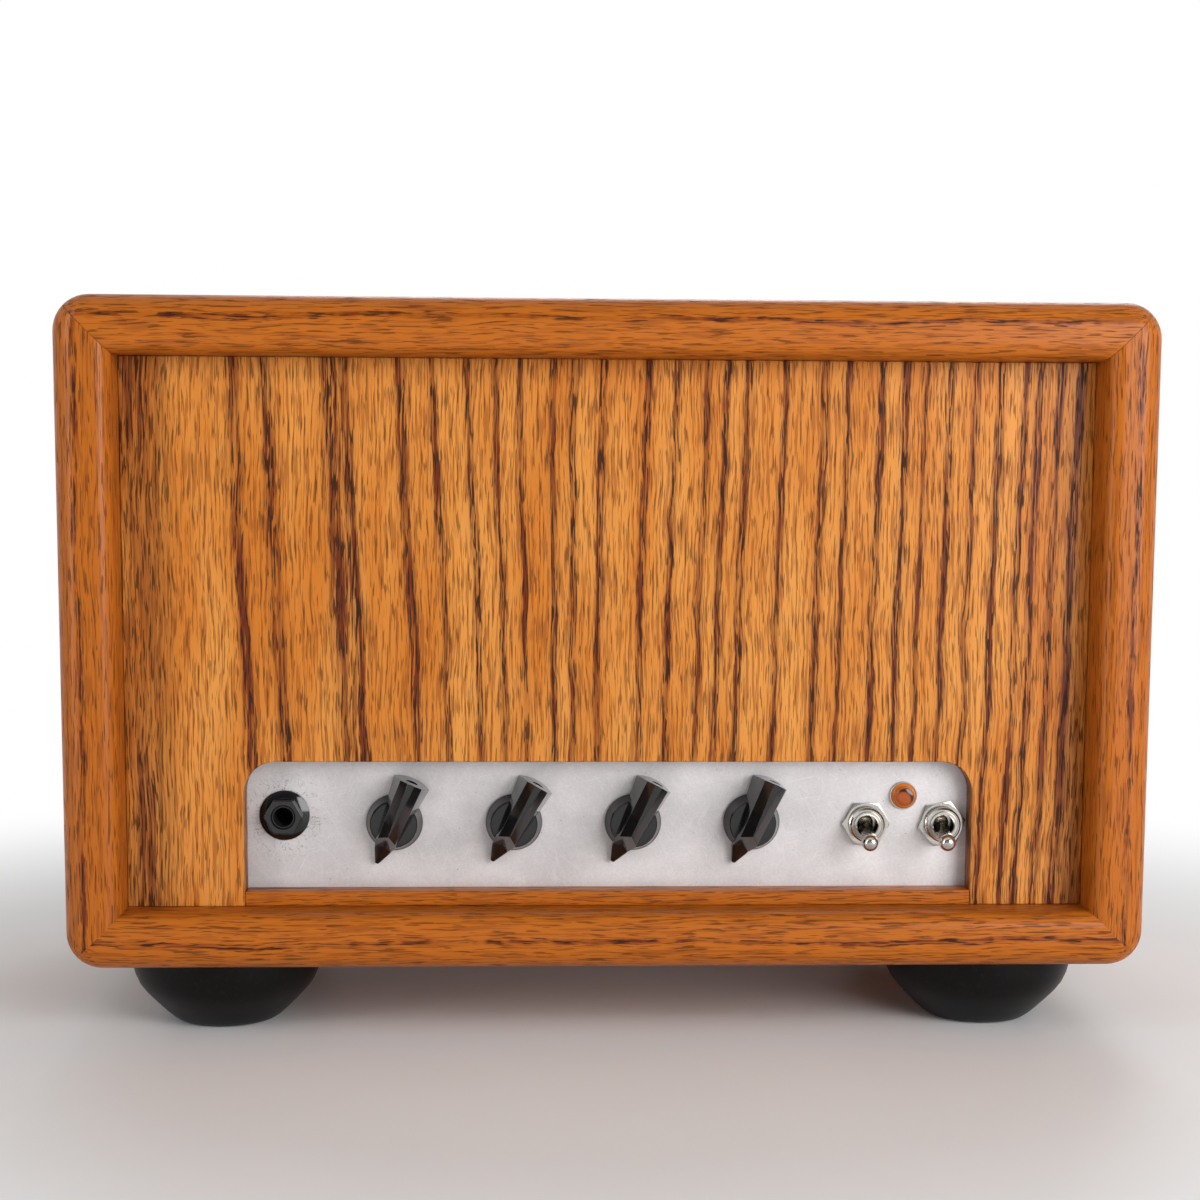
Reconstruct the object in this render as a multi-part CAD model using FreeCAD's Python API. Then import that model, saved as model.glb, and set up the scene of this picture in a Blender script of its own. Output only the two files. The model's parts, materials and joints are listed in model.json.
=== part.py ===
import FreeCAD, Part
import os
from math import cos, pi, radians, sin, sqrt

V = FreeCAD.Vector
RIGHT, FRONT, BACK, UP = V(1, 0, 0), V(0, -1, 0), V(0, 1, 0), V(0, 0, 1)

# Oak cabinet: outside sizes in mm, X across, Y front to back, Z up from the floor
cabinet_width = 362.0
cabinet_height = 221.5
cabinet_depth = 200.0
board = 19.0
corner_radius = 12.0
outer_roundover = 9.0
inner_roundover = 5.5
rear_bevel = 2.5
foot_height = 26.0

# Front panel, its control window and the strip that closes the window's foot
panel_recess = 16.2
panel_thickness = 9.0
window_width = 246.4
window_centre_x = 0.5
window_rise = 68.2
window_corner = 10.7
strip_rise = 24.0
cleat = 12.0

# Back rail
rail_height = 55.0
rail_inset = 3.0

# Aluminium chassis
chassis_width = 254.0
chassis_depth = 152.4
chassis_height = 50.8
sheet = 1.6
flange = 12.0
bend_radius = 2.4
plate = 1.2
chassis_screw_xs = (-52.0, 72.0)
chassis_screw_radius = 2.4

# Feet
foot_screw_radius = 2.0
foot_profile = [(0, 0), (16.0, 0), (19.4, 1.2), (28.4, 10.0),
                (32.0, 15.5), (33.5, foot_height), (0, foot_height)]

# Controls on the chassis front: X across and Z above the floor
jack_x, jack_z = -110.1, 74.8
first_knob_x, knob_pitch, knob_z = -72.8, 40.7, 72.5
knob_turns_from_down = (23.5, 29.5, 28.0, 24.5)
toggle_xs, toggle_z = (88.8, 115.0), 71.8
toggle_twist = 15.0
toggle_nut_turns = (0.0, 10.0)
toggle_tilt = 12.5
pilot_x, pilot_z = 101.7, 81.5

# Pointer knobs, measured with the pointer along X and the panel side at Z 0
knob_lift = 0.9
knob_height = 17.2
tail_reach, tail_half, tail_arc = 16.5, 6.5, 14.0
pointer_reach, pointer_half = 15.2, 0.6
beak_points = [(7.7, 3.4), (10.4, 2.7)]
shoulder_tail, shoulder_middle = (-16.0, 3.9, 13.2), (1.3, 3.3, 12.6)
ridge_tail, ridge_end = (-16.4, 1.2, knob_height), (2.7, 0.1, knob_height)
nose_foot, beak_ridge_half, beak_side = (8.0, 6.5), 0.28, (8.0, 3.3, 4.0)
skirt_radius, hub_radius, hub_height = 9.7, 7.7, 5.5
set_screw_height, set_screw_radius, set_screw_end = 10.0, 2.1, -8.0
shaft_rise = 12.2

# Standard hardware
bushing_radius = 4.7
shaft_radius = 3.17
splines = 12
running_gap = 0.05
plug_bore_radius = 3.25
pot_body_radius, pot_depth, pot_bushing_rise, pot_nut_height = 12.0, 10.5, 4.6, 2.3
toggle_bushing_radius, toggle_bushing_rise = 5.95, 5.4
throat_radius, pivot_depth, pin_radius, pin_half = 3.4, 1.6, 0.7, 3.0
pilot_tube, lens_tube, lens_radius, bezel_radius = 3.1, 2.85, 4.3, 4.85
inlet_half_x, inlet_half_z, inlet_depth = 13.8, 10.0, 22.0
inlet_screw_x, inlet_screw_radius = 20.0, 1.5
fuse_radius, fuse_length = 2.6, 20.0

# Valves, transformers and the rear panel
preamp_valve_xs, power_valve_xs, valve_y = (-104.0, -66.0), (-22.0, 20.0), 38.0
mains_transformer_x, mains_transformer_y = 84.0, -8.0
mains_stack_half_x, mains_stack_half_y, mains_stack_height = 32.0, 18.0, 66.0
output_transformer_x, output_transformer_y = -30.0, -32.0
output_stack, output_coil = (26.0, 10.0, 44.0), (17.0, 18.5)
speaker_jack_x, fuse_x, inlet_x, rear_z = -60.0, 40.0, 92.0, 72.0

# Circuit board
board_xs, board_ys = (-100.0, 62.0), (-48.0, 6.0)
board_lift, board_sheet = 12.0, 2.4

# Valves: a miniature preamp pair and an octal power pair
preamp_valve = {"socket": 10.5, "radius": 11.0, "glass": 50.0, "base": 0.0, "plate": (4.6, 24.0)}
power_valve = {"socket": 15.5, "radius": 14.5, "glass": 62.0, "base": 16.0, "plate": (8.0, 30.0)}
socket_rise = 3.0

# Flat sides that round work is drawn with, by its size
broad, middling, slender, tiny = 16, 12, 8, 6

# Derived places
y_front, y_rear = -cabinet_depth / 2, cabinet_depth / 2
half_width = cabinet_width / 2
inner_half = half_width - board
z_base = foot_height
z_top = foot_height + cabinet_height
z_sill, z_ceiling = z_base + board, z_top - board
y_panel = y_front + panel_recess
y_chassis = y_panel + panel_thickness
y_chassis_rear = y_chassis + chassis_depth
z_plate_top = z_sill + plate
z_deck = z_plate_top + chassis_height
chassis_left = window_centre_x - chassis_width / 2
chassis_right = window_centre_x + chassis_width / 2
y_inside, y_inside_rear = y_chassis + sheet, y_chassis_rear - sheet
window_left = window_centre_x - window_width / 2
window_right = window_centre_x + window_width / 2
knob_xs = [first_knob_x + knob_pitch * i for i in range(4)]
foot_places = [(x, y) for x in (-133.0, 133.0) for y in (-54.0, 54.0)]
rear_places = ((speaker_jack_x, bushing_radius), (fuse_x, 6.0))
valve_places = [(x, preamp_valve) for x in preamp_valve_xs] + [(x, power_valve) for x in power_valve_xs]
rail_ys = (y_rear - rail_inset - panel_thickness, y_rear - rail_inset)
rail_zs = (z_ceiling - rail_height, z_ceiling)
rail_screw_places = [(x, z) for x in (-inner_half + 7, inner_half - 7)
                     for z in (rail_zs[0] + 12, rail_zs[1] - 12)]
board_z = z_plate_top + board_lift


def block(xs, ys, zs):
    """Box between pairs of low and high coordinates."""
    size = (xs[1] - xs[0], ys[1] - ys[0], zs[1] - zs[0])
    return Part.makeBox(*size, V(xs[0], ys[0], zs[0]))


def rod(radius, start, direction, length):
    """True cylinder, kept for plug bores and shaft bearings."""
    return Part.makeCylinder(radius, length, start, direction)


def ring(radius, height, sides):
    """Corners of a regular polygon on a circle, the first on +X."""
    step = 2 * pi / sides
    return [V(radius * cos(step * i), radius * sin(step * i), height) for i in range(sides)]


def bar(radius, start, direction, length, sides):
    """Round bar drawn with flat sides."""
    corners = ring(radius, 0, sides)
    face = Part.Face(Part.makePolygon(corners + corners[:1]))
    return placed(face.extrude(V(0, 0, length)), start, direction)


def placed(shape, origin, direction):
    """Stand a shape made along +Z on origin, facing direction."""
    shape = shape.copy()
    turn = FreeCAD.Rotation(UP, direction)
    shape.Placement = FreeCAD.Placement(origin, turn).multiply(shape.Placement)
    return shape


def hole(radius, start, direction, length, sides):
    """Cutter for a round hole whose flat sides touch the hole's circle."""
    return bar(radius / cos(pi / sides), start, direction, length, sides)


def turned(profile, origin, direction, sides):
    """Turned piece with flat sides, from a closed list of (radius, height) corners."""
    faces = []
    for (r0, h0), (r1, h1) in zip(profile, profile[1:] + profile[:1]):
        low, high = ring(r0, h0, sides), ring(r1, h1, sides)
        if r0 == 0 and r1 == 0:
            continue
        for i in range(sides):
            j = (i + 1) % sides
            corners = [low[i], low[j], high[j], high[i]]
            if r0 == 0:
                corners = [low[i], high[j], high[i]]
            if r1 == 0:
                corners = [low[i], low[j], high[i]]
            faces.append(Part.Face(Part.makePolygon(corners + corners[:1])))
    solid = Part.makeSolid(Part.makeShell(faces))
    if solid.Volume < 0:
        solid.reverse()
    return placed(solid.removeSplitter(), origin, direction)


def hexagon(flats, length, turn=0.0):
    """Hexagonal bar along +Z, with a corner on +X before its turn."""
    corner = flats / sqrt(3)
    points = [V(corner * cos(radians(60 * i + turn)), corner * sin(radians(60 * i + turn)), 0)
              for i in range(7)]
    return Part.Face(Part.makePolygon(points)).extrude(V(0, 0, length))


def nut(flats, length, bore, origin, direction, sides, turn=0.0):
    blank = hexagon(flats, length, turn)
    return placed(blank.cut(hole(bore, V(0, 0, 0), UP, length, sides)), origin, direction)


def rounded_rectangle(low, high, radius, y):
    """Face in the XZ plane at a depth y, with four round corners."""
    (x0, z0), (x1, z1) = low, high
    slab = Part.makeBox(x1 - x0, 1, z1 - z0, V(x0, y, z0))
    uprights = [e for e in slab.Edges if abs(e.tangentAt(e.FirstParameter).y) > 0.99]
    rounded = slab.makeFillet(radius, uprights)
    return [f for f in rounded.Faces if abs(f.CenterOfMass.y - y) < 1e-6][0]


def save(name, *solids):
    shape = solids[0] if len(solids) == 1 else Part.makeCompound(list(solids))
    for solid in shape.Solids:
        if not solid.isValid() or solid.Volume <= 0:
            raise ValueError(name + " has a bad solid")
    shape.exportStep("parts/" + name + ".step")


def arris_edges(case, inside, y):
    """Edges that run round the case's mouth or its outside at a depth y."""
    found = []
    for edge in case.Edges:
        middle = edge.valueAt((edge.FirstParameter + edge.LastParameter) / 2)
        within = abs(middle.x) < inner_half + 0.1 and z_sill - 0.1 < middle.z < z_ceiling + 0.1
        if within == inside and abs(middle.y - y) < 0.1:
            found.append(edge)
    return found


def cabinet_boards():
    """Four mitred boards: a round-cornered case cut along its corner diagonals."""
    case = rounded_rectangle((-half_width, z_base), (half_width, z_top), corner_radius, y_front)
    case = case.extrude(V(0, cabinet_depth, 0))
    case = case.cut(block((-inner_half, inner_half), (y_front - 1, y_rear + 1), (z_sill, z_ceiling)))
    case = case.makeFillet(outer_roundover, arris_edges(case, False, y_front))
    case = case.makeChamfer(rear_bevel, arris_edges(case, False, y_rear))
    case = case.makeFillet(inner_roundover, arris_edges(case, True, y_front))
    z_mid, reach = (z_base + z_top) / 2, half_width + 1
    far = reach - (z_top - z_base) / 2 - 1
    boards = {}
    for name, side in (("cabinet_left_side", -1), ("cabinet_right_side", 1)):
        boards[name] = [(side * reach, z_base - 1), (side * far, z_mid), (side * reach, z_top + 1)]
    for name, z_out in (("cabinet_bottom", z_base - 1), ("cabinet_top", z_top + 1)):
        boards[name] = [(-reach, z_out), (-far, z_mid), (far, z_mid), (reach, z_out)]
    return {name: case.common(wedge(outline)) for name, outline in boards.items()}


def wedge(outline):
    """Prism over the whole depth from corners in the XZ plane."""
    corners = [V(x, y_front - 1, z) for x, z in outline + outline[:1]]
    return Part.Face(Part.makePolygon(corners)).extrude(V(0, cabinet_depth + 2, 0))


def chassis_screw_places():
    inset = sheet + flange / 2
    return [(x, y) for x in chassis_screw_xs for y in (y_chassis + inset, y_chassis_rear - inset)]


def drilled_bottom(bottom):
    """Bottom board with pilot holes for the feet and through holes for the chassis screws."""
    for x, y in foot_places:
        bottom = bottom.cut(hole(foot_screw_radius, V(x, y, z_base - 1), UP, 15, tiny))
    for x, y in chassis_screw_places():
        bottom = bottom.cut(hole(chassis_screw_radius + 0.3, V(x, y, z_base - 1), UP, board + 2, tiny))
    return bottom


def front_panel():
    """Panel with a window cut up from its foot, round at the two top corners."""
    panel = block((-inner_half, inner_half), (y_panel, y_chassis), (z_sill, z_ceiling))
    top = z_base + window_rise
    opening = rounded_rectangle((window_left, z_sill - 2 * window_corner), (window_right, top),
                                window_corner, y_panel - 1)
    return panel.cut(opening.extrude(V(0, panel_thickness + 2, 0)))


def sill_strip():
    return block((window_left, window_right), (y_panel, y_chassis), (z_sill, z_base + strip_rise))


def panel_cleats():
    """Glue blocks behind the panel along its head and down both sides."""
    back = (y_chassis, y_chassis + cleat)
    head = block((-inner_half, inner_half), back, (z_ceiling - cleat, z_ceiling))
    sides = [block(sorted((s * inner_half, s * (inner_half - cleat))), back, (z_sill, z_ceiling - cleat))
             for s in (-1, 1)]
    return [head] + sides


def back_rail():
    rail = block((-inner_half, inner_half), rail_ys, rail_zs)
    for x, z in rail_screw_places:
        rail = rail.cut(hole(2.0, V(x, rail_ys[0] - 1, z), BACK, panel_thickness + 2, tiny))
    return rail


def rail_cleats():
    cleats = []
    for side in (-1, 1):
        xs = sorted((side * inner_half, side * (inner_half - 14)))
        piece = block(xs, (rail_ys[0] - 14, rail_ys[0]), rail_zs)
        for x, z in rail_screw_places:
            piece = piece.cut(hole(2.0, V(x, rail_ys[0] + 1, z), FRONT, 12, tiny))
        cleats.append(piece)
    return cleats


def rail_screws():
    """Round-head wood screws with a cross cut in the head."""
    head_height = 2.2
    profile = [(0, 0), (3.6, 0), (3.4, 1.0), (2.0, head_height), (0, head_height)]
    screws = []
    for x, z in rail_screw_places:
        seat = V(x, rail_ys[1], z)
        head = turned(profile, seat, BACK, slender)
        screws.append(head.fuse(bar(2.0, seat, FRONT, panel_thickness + 10, tiny)))
    return screws


def rubber_feet():
    """Bowl-shaped feet with a square shoulder line and a recess for the screw."""
    foot = turned(foot_profile, V(0, 0, 0), UP, broad)
    foot = foot.cut(hole(8.6, V(0, 0, -1), UP, 5, slender))
    foot = foot.cut(hole(foot_screw_radius + 0.3, V(0, 0, 1), UP, foot_height, tiny))
    return [placed(foot, V(x, y, 0), UP) for x, y in foot_places]


def foot_washers():
    washer = bar(8.0, V(0, 0, 2.8), UP, 1.2, slender)
    washer = washer.cut(hole(foot_screw_radius + 0.3, V(0, 0, 2), UP, 3, tiny))
    return [placed(washer, V(x, y, 0), UP) for x, y in foot_places]


def foot_screws():
    head = [(0, 0.8), (2.4, 0.8), (3.8, 2.2), (3.8, 2.8), (0, 2.8)]
    shank_length = foot_height + 9
    return [turned(head, V(x, y, 0), UP, slender).fuse(
        bar(foot_screw_radius, V(x, y, 2.8), UP, shank_length, tiny)) for x, y in foot_places]


def folded_tray():
    """Sheet box with its foot open and its four sides folded in along the foot."""
    xs, ys = (chassis_left, chassis_right), (y_chassis, y_chassis_rear)
    outside = block(xs, ys, (z_plate_top, z_deck))
    bends = [e for e in outside.Edges if e.CenterOfMass.z > z_deck - 1
             and abs(e.tangentAt(e.FirstParameter).x) > 0.9]
    outside = outside.makeFillet(bend_radius, bends)
    inside = block((xs[0] + sheet, xs[1] - sheet), (ys[0] + sheet, ys[1] - sheet),
                   (z_plate_top + sheet, z_deck - sheet))
    mouth = block((xs[0] + sheet + flange, xs[1] - sheet - flange),
                  (ys[0] + sheet + flange, ys[1] - sheet - flange), (z_plate_top - 1, z_deck - sheet))
    return outside.cut(inside).cut(mouth)


def chassis():
    tray = folded_tray()
    front_holes = [(jack_x, jack_z, bushing_radius + 0.1), (pilot_x, pilot_z, pilot_tube + 0.1)]
    front_holes += [(x, knob_z, bushing_radius + 0.1) for x in knob_xs]
    front_holes += [(x, toggle_z, toggle_bushing_radius + 0.1) for x in toggle_xs]
    for x, z, radius in front_holes:
        tray = tray.cut(hole(radius, V(x, y_chassis - 1, z), BACK, sheet + 2, slender))
    for x, radius in rear_places:
        tray = tray.cut(hole(radius + 0.1, V(x, y_inside_rear - 1, rear_z), BACK, sheet + 2, slender))
    tray = tray.cut(block((inlet_x - inlet_half_x - 0.2, inlet_x + inlet_half_x + 0.2),
                          (y_inside_rear - 1, y_chassis_rear + 1),
                          (rear_z - inlet_half_z - 0.2, rear_z + inlet_half_z + 0.2)))
    for x, size in valve_places:
        centre = V(x, valve_y, z_deck - sheet - 1)
        tray = tray.cut(hole(size["socket"] + 0.1, centre, UP, sheet + 2, slender))
    for x, y in chassis_screw_places():
        below = V(x, y, z_plate_top - 1)
        tray = tray.cut(hole(chassis_screw_radius + 0.3, below, UP, sheet + 2, tiny))
    for side in (-1, 1):
        behind = V(inlet_x + side * inlet_screw_x, y_inside_rear - 1, rear_z)
        tray = tray.cut(hole(inlet_screw_radius + 0.1, behind, BACK, sheet + 2, tiny))
    return tray


def chassis_bottom_plate():
    cover = block((chassis_left, chassis_right), (y_chassis, y_chassis_rear), (z_sill, z_plate_top))
    for x, y in chassis_screw_places():
        cover = cover.cut(hole(chassis_screw_radius + 0.3, V(x, y, z_sill - 1), UP, plate + 2, tiny))
    return cover


def chassis_screws():
    """Pan-head machine screws up through the bottom board into the chassis flanges."""
    head = [(0, 0), (4.0, 0), (4.6, 1.2), (4.6, 3.0), (0, 3.0)]
    length = board + plate + sheet + 6
    return [turned(head, V(x, y, z_base - 3), UP, slender).fuse(
        bar(chassis_screw_radius, V(x, y, z_base), UP, length, tiny))
        for x, y in chassis_screw_places()]


def chassis_screw_nuts():
    return [nut(8.0, 3.2, chassis_screw_radius, V(x, y, z_plate_top + sheet), UP, tiny)
            for x, y in chassis_screw_places()]


def input_jack():
    """Moulded body inside the chassis, with a threaded bushing out through its front."""
    body = block((jack_x - 8, jack_x + 8), (y_inside, y_inside + 24), (jack_z - 9.5, jack_z + 9.5))
    body = body.fuse(bar(bushing_radius, V(jack_x, y_chassis - 4.2, jack_z), BACK, 4.2 + sheet,
                         middling))
    bore = rod(plug_bore_radius, V(jack_x, y_chassis - 5, jack_z), BACK, 27)
    lugs = [block((jack_x - 6, jack_x + 6), (y_inside + 24, y_inside + 29), (z - 0.4, z + 0.4))
            for z in (jack_z - 6, jack_z + 6)]
    return body.cut(bore).fuse(lugs)


def input_jack_nut():
    """Dress nut: a sloping round flange under a raised hexagon with a lip at its mouth."""
    skirt = turned([(0, 0), (8.55, 0), (8.55, 0.7), (6.3, 1.9), (0, 1.9)], V(0, 0, 0), UP,
                   broad)
    piece = skirt.fuse(hexagon(11.7, 5.2))
    piece = piece.cut(hole(bushing_radius, V(0, 0, -1), UP, 5.2, middling))
    piece = piece.cut(hole(3.7, V(0, 0, 3), UP, 3, middling))
    return placed(piece, V(jack_x, y_chassis, jack_z), FRONT)


def potentiometer(x):
    """Round can with a threaded bushing and three solder lugs, bored for its shaft."""
    can = bar(pot_body_radius, V(x, y_inside, knob_z), BACK, pot_depth, slender)
    bushing = bar(bushing_radius, V(x, y_chassis - pot_bushing_rise, knob_z), BACK,
                  pot_bushing_rise + sheet + 1, slender)
    lugs = [block((x + dx - 1.3, x + dx + 1.3), (y_inside + 1, y_inside + 1.8),
                  (knob_z - pot_body_radius - 5, knob_z - pot_body_radius + 3)) for dx in (-5, 0, 5)]
    bore = rod(shaft_radius + running_gap, V(x, y_chassis - 6, knob_z), BACK, 6 + sheet + pot_depth - 1.5)
    return can.fuse([bushing] + lugs).cut(bore)


def potentiometer_nut(x):
    return nut(12.7, pot_nut_height, bushing_radius, V(x, y_chassis, knob_z), FRONT, slender, 30)


def potentiometer_shaft(x):
    end = y_inside + pot_depth - 2
    start = y_chassis - shaft_rise
    return bar(shaft_radius, V(x, start, knob_z), BACK, end - start, splines)


def trimmed(shape, a, b, c):
    """Cut away what lies beyond the plane through three points, on the side its normal faces."""
    normal = (b - a).cross(c - a)
    slab = Part.makeBox(120, 120, 60, V(-60, -60, 0))
    return shape.cut(placed(slab, a, normal))


def mirrored(point):
    return V(point.x, -point.y, point.z)


def trimmed_both(shape, a, b, c):
    """The same cut on both sides of the XZ plane."""
    return trimmed(trimmed(shape, a, b, c), mirrored(a), mirrored(c), mirrored(b))


def knob_plan():
    """Face of the grip seen from the front: an arc at the tail, drawn in to a blunt beak."""
    tail_x = tail_arc - tail_reach - sqrt(tail_arc ** 2 - tail_half ** 2)
    side = [(tail_x, tail_half)] + beak_points + [(pointer_reach, pointer_half)]
    outline = side + [(x, -y) for x, y in reversed(side)]
    edges = [Part.makeLine(V(*a, 0), V(*b, 0)) for a, b in zip(outline, outline[1:])]
    edges.append(Part.Arc(V(*outline[-1], 0), V(-tail_reach, 0, 0), V(*outline[0], 0)).toShape())
    return Part.Face(Part.Wire(edges))


def knob_grip():
    """Tall bar with sloping flanks, bevelled shoulders, a flat ridge and a steep nose."""
    grip = knob_plan().extrude(V(0, 0, knob_height))
    tail_foot = V(tail_arc - tail_reach - sqrt(tail_arc ** 2 - tail_half ** 2), tail_half, 0)
    grip = trimmed_both(grip, tail_foot, V(*shoulder_tail), V(*shoulder_middle))
    grip = trimmed_both(grip, V(*shoulder_tail), V(*ridge_tail), V(*ridge_end))
    nose_top, foot = V(ridge_end[0], 0, knob_height), V(nose_foot[0], 0, nose_foot[1])
    return trimmed(grip, nose_top, foot, foot + V(0, 1, 0))


def knob_beak():
    """Low pointer with a roof that falls from a narrow flat along its middle."""
    beak = knob_plan().extrude(V(0, 0, nose_foot[1]))
    ridge_start = V(nose_foot[0], beak_ridge_half, nose_foot[1])
    ridge_tip = V(pointer_reach, beak_ridge_half, 2.0)
    beak = trimmed_both(beak, ridge_start, ridge_tip, V(*beak_side))
    beak = trimmed(beak, mirrored(ridge_start), ridge_tip, ridge_start)
    return beak.cut(block((-20, 0), (-10, 10), (-1, knob_height)))


def knob_blank():
    """Grip and beak on a round sloping skirt."""
    skirt = turned([(0, 0), (skirt_radius, 0), (skirt_radius - 0.3, 1.2), (hub_radius, hub_height),
                    (0, hub_height)], V(0, 0, 0), UP, broad)
    return knob_grip().fuse([knob_beak(), skirt])


def pointer_direction(turn_from_down):
    """Angle in the panel plane, seen from the front and counted up from the right."""
    return 180.0 + (90.0 - turn_from_down)


def front_placement(x, z, lift, angle):
    """Placement that lays a piece made on z = 0 against the chassis front."""
    face_out = FreeCAD.Rotation(RIGHT, 90)
    spin = FreeCAD.Rotation(UP, angle)
    return FreeCAD.Placement(V(x, y_chassis - lift, z), face_out.multiply(spin))


def knob_set(x, turn_from_down):
    """A knob bored for its shaft and nut, and the set screw in its tail."""
    foot = V(0, 0, -1)
    nut_room, bushing_room = pot_nut_height - knob_lift + 0.4, pot_bushing_rise - knob_lift + 0.4
    knob = knob_blank()
    knob = knob.cut(hole(7.6, foot, UP, 1 + nut_room, slender))
    knob = knob.cut(hole(bushing_radius + 0.4, foot, UP, 1 + bushing_room, slender))
    knob = knob.cut(hole(shaft_radius, foot, UP, 1 + shaft_rise - knob_lift + 0.1, splines))
    screw_seat = V(-tail_reach - 1, 0, set_screw_height)
    knob = knob.cut(hole(set_screw_radius, screw_seat, RIGHT, tail_reach + 1 - shaft_radius, slender))
    outer_end = V(set_screw_end, 0, set_screw_height)
    screw = bar(set_screw_radius, outer_end, RIGHT, -set_screw_end - shaft_radius, slender)
    screw = screw.cut(placed(hexagon(1.6, 2.0), outer_end, RIGHT))
    place = front_placement(x, knob_z, knob_lift, pointer_direction(turn_from_down))
    for piece in (knob, screw):
        piece.Placement = place.multiply(piece.Placement)
    return knob, screw


def toggle_switch(x):
    """Switch body behind the panel and a threaded bushing with a round mouth for the lever."""
    body = block((-6.2, 6.2), (-11.5, 11.5), (-sheet - 18, -sheet))
    bushing = bar(toggle_bushing_radius, V(0, 0, -sheet), UP, sheet + toggle_bushing_rise, middling)
    throat = hole(throat_radius, V(0, 0, -8), UP, 8 + toggle_bushing_rise + 1, slender)
    lugs = [block((-2.4, 2.4), (y - 0.4, y + 0.4), (-sheet - 24, -sheet - 18)) for y in (-7, 7)]
    switch = body.fuse([bushing] + lugs).cut(throat)
    switch.Placement = front_placement(x, toggle_z, 0, -toggle_twist)
    return switch


def toggle_nut(x, turn):
    return nut(14.3, 2.1, toggle_bushing_radius, V(x, y_chassis, toggle_z), FRONT, middling, turn)


def toggle_lever(x):
    """Bat lever: a ball on a cross pin at the pivot, a waisted shank and a bat end, tipped down."""
    profile = [(0, -2.6), (2.4, -1.6), (3.0, 0), (1.5, 2.6), (1.5, 8.0), (2.7, 16.5), (2.85, 18.8),
               (2.2, 20.9), (0, 21.8)]
    lever = turned(profile, V(0, 0, 0), UP, slender)
    lever = lever.fuse(rod(pin_radius, V(-pin_half, 0, 0), RIGHT, 2 * pin_half))
    tip = FreeCAD.Placement(V(0, 0, 0), FreeCAD.Rotation(RIGHT, toggle_tilt))
    pivot = FreeCAD.Placement(V(0, 0, -pivot_depth), FreeCAD.Rotation())
    lever.Placement = front_placement(x, toggle_z, 0, -toggle_twist).multiply(pivot).multiply(tip)
    return lever


def pilot_bezel():
    """Tube through the chassis with a thin ring in front that stands round the lens."""
    profile = [(lens_tube, -9), (pilot_tube, -9), (pilot_tube, 0), (bezel_radius, 0),
               (bezel_radius, 1.2), (lens_radius, 1.2), (lens_radius, 0.4), (lens_tube, 0.4)]
    return turned(profile, V(pilot_x, y_chassis, pilot_z), FRONT, middling)


def pilot_lens():
    """Amber plug with a stepped rim and a raised boss that narrows to a flat face."""
    profile = [(0, -8), (lens_tube, -8), (lens_tube, 0.4), (lens_radius, 0.4), (lens_radius, 1.1),
               (3.3, 4.3), (0, 4.5)]
    lens = turned(profile, V(0, 0, 0), UP, middling)
    lens = lens.cut(hole(1.2, V(0, 0, -9), UP, 8, tiny))
    return placed(lens, V(pilot_x, y_chassis, pilot_z), FRONT)


def valve_socket(x, size):
    """Round socket through the deck with a flange above and solder tags below."""
    radius = size["socket"]
    centre = V(x, valve_y, z_deck)
    socket = bar(radius, centre - V(0, 0, 9), UP, 9 + socket_rise, slender)
    socket = socket.fuse(bar(radius + 3, centre, UP, socket_rise, slender))
    return socket.cut(hole(2.5, centre - V(0, 0, 10), UP, 14, tiny))


def valve_glass(x, size):
    """Bulb with a flat foot, straight wall, sloping shoulder and sealed tip, hollow inside."""
    r, h, wall = size["radius"], size["glass"], 1.0
    foot = z_deck + socket_rise + size["base"]
    bulb = [(0, 0), (r, 0), (r, h - 8), (r * 0.75, h - 2.5), (1.6, h), (0, h + 3)]
    inner = [(0, 3), (r - wall, 3), (r - wall, h - 8.6), (r * 0.7, h - 4.5), (0, h - 3)]
    centre = V(x, valve_y, foot)
    return turned(bulb, centre, UP, middling).cut(turned(inner, centre, UP, slender))


def valve_base(x):
    """Moulded base collar of a power valve, with its locating key in the socket."""
    base = turned([(0, 0), (13.5, 0), (16.0, 5), (16.0, power_valve["base"]), (0, power_valve["base"])],
                  V(x, valve_y, z_deck + socket_rise), UP, middling)
    return base.fuse(bar(2.45, V(x, valve_y, z_deck - 5), UP, 5 + socket_rise, tiny))


def valve_electrodes(x, size):
    """Plate box between two mica discs."""
    half, tall = size["plate"]
    z = z_deck + socket_rise + size["base"] + 3
    centre = V(x, valve_y, z)
    plates = block((x - half, x + half), (valve_y - 4, valve_y + 4), (z + 5, z + 5 + tall))
    micas = [bar(size["radius"] - 2, centre + V(0, 0, h), UP, 1, tiny) for h in (4, 5 + tall)]
    stem = bar(3, centre, UP, 4, tiny)
    return plates.fuse(micas + [stem])


def mains_transformer():
    """Laminated core that stands on its edge, with a hole up each corner for the clamp bolts."""
    x, y = mains_transformer_x, mains_transformer_y
    half_x, half_y = mains_stack_half_x, mains_stack_half_y
    core = block((x - half_x, x + half_x), (y - half_y, y + half_y),
                 (z_deck, z_deck + mains_stack_height))
    for bolt in transformer_bolt_places():
        core = core.cut(hole(1.8, bolt - V(0, half_y + 1, 0), BACK, 2 * half_y + 2, tiny))
    return core


def transformer_bolt_places():
    """Middles of the four clamp bolts, at the core's corners."""
    x, y = mains_transformer_x, mains_transformer_y
    reach = mains_stack_half_x - 5
    return [V(x + side * reach, y, z) for side in (-1, 1)
            for z in (z_deck + 5, z_deck + mains_stack_height - 5)]


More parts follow.
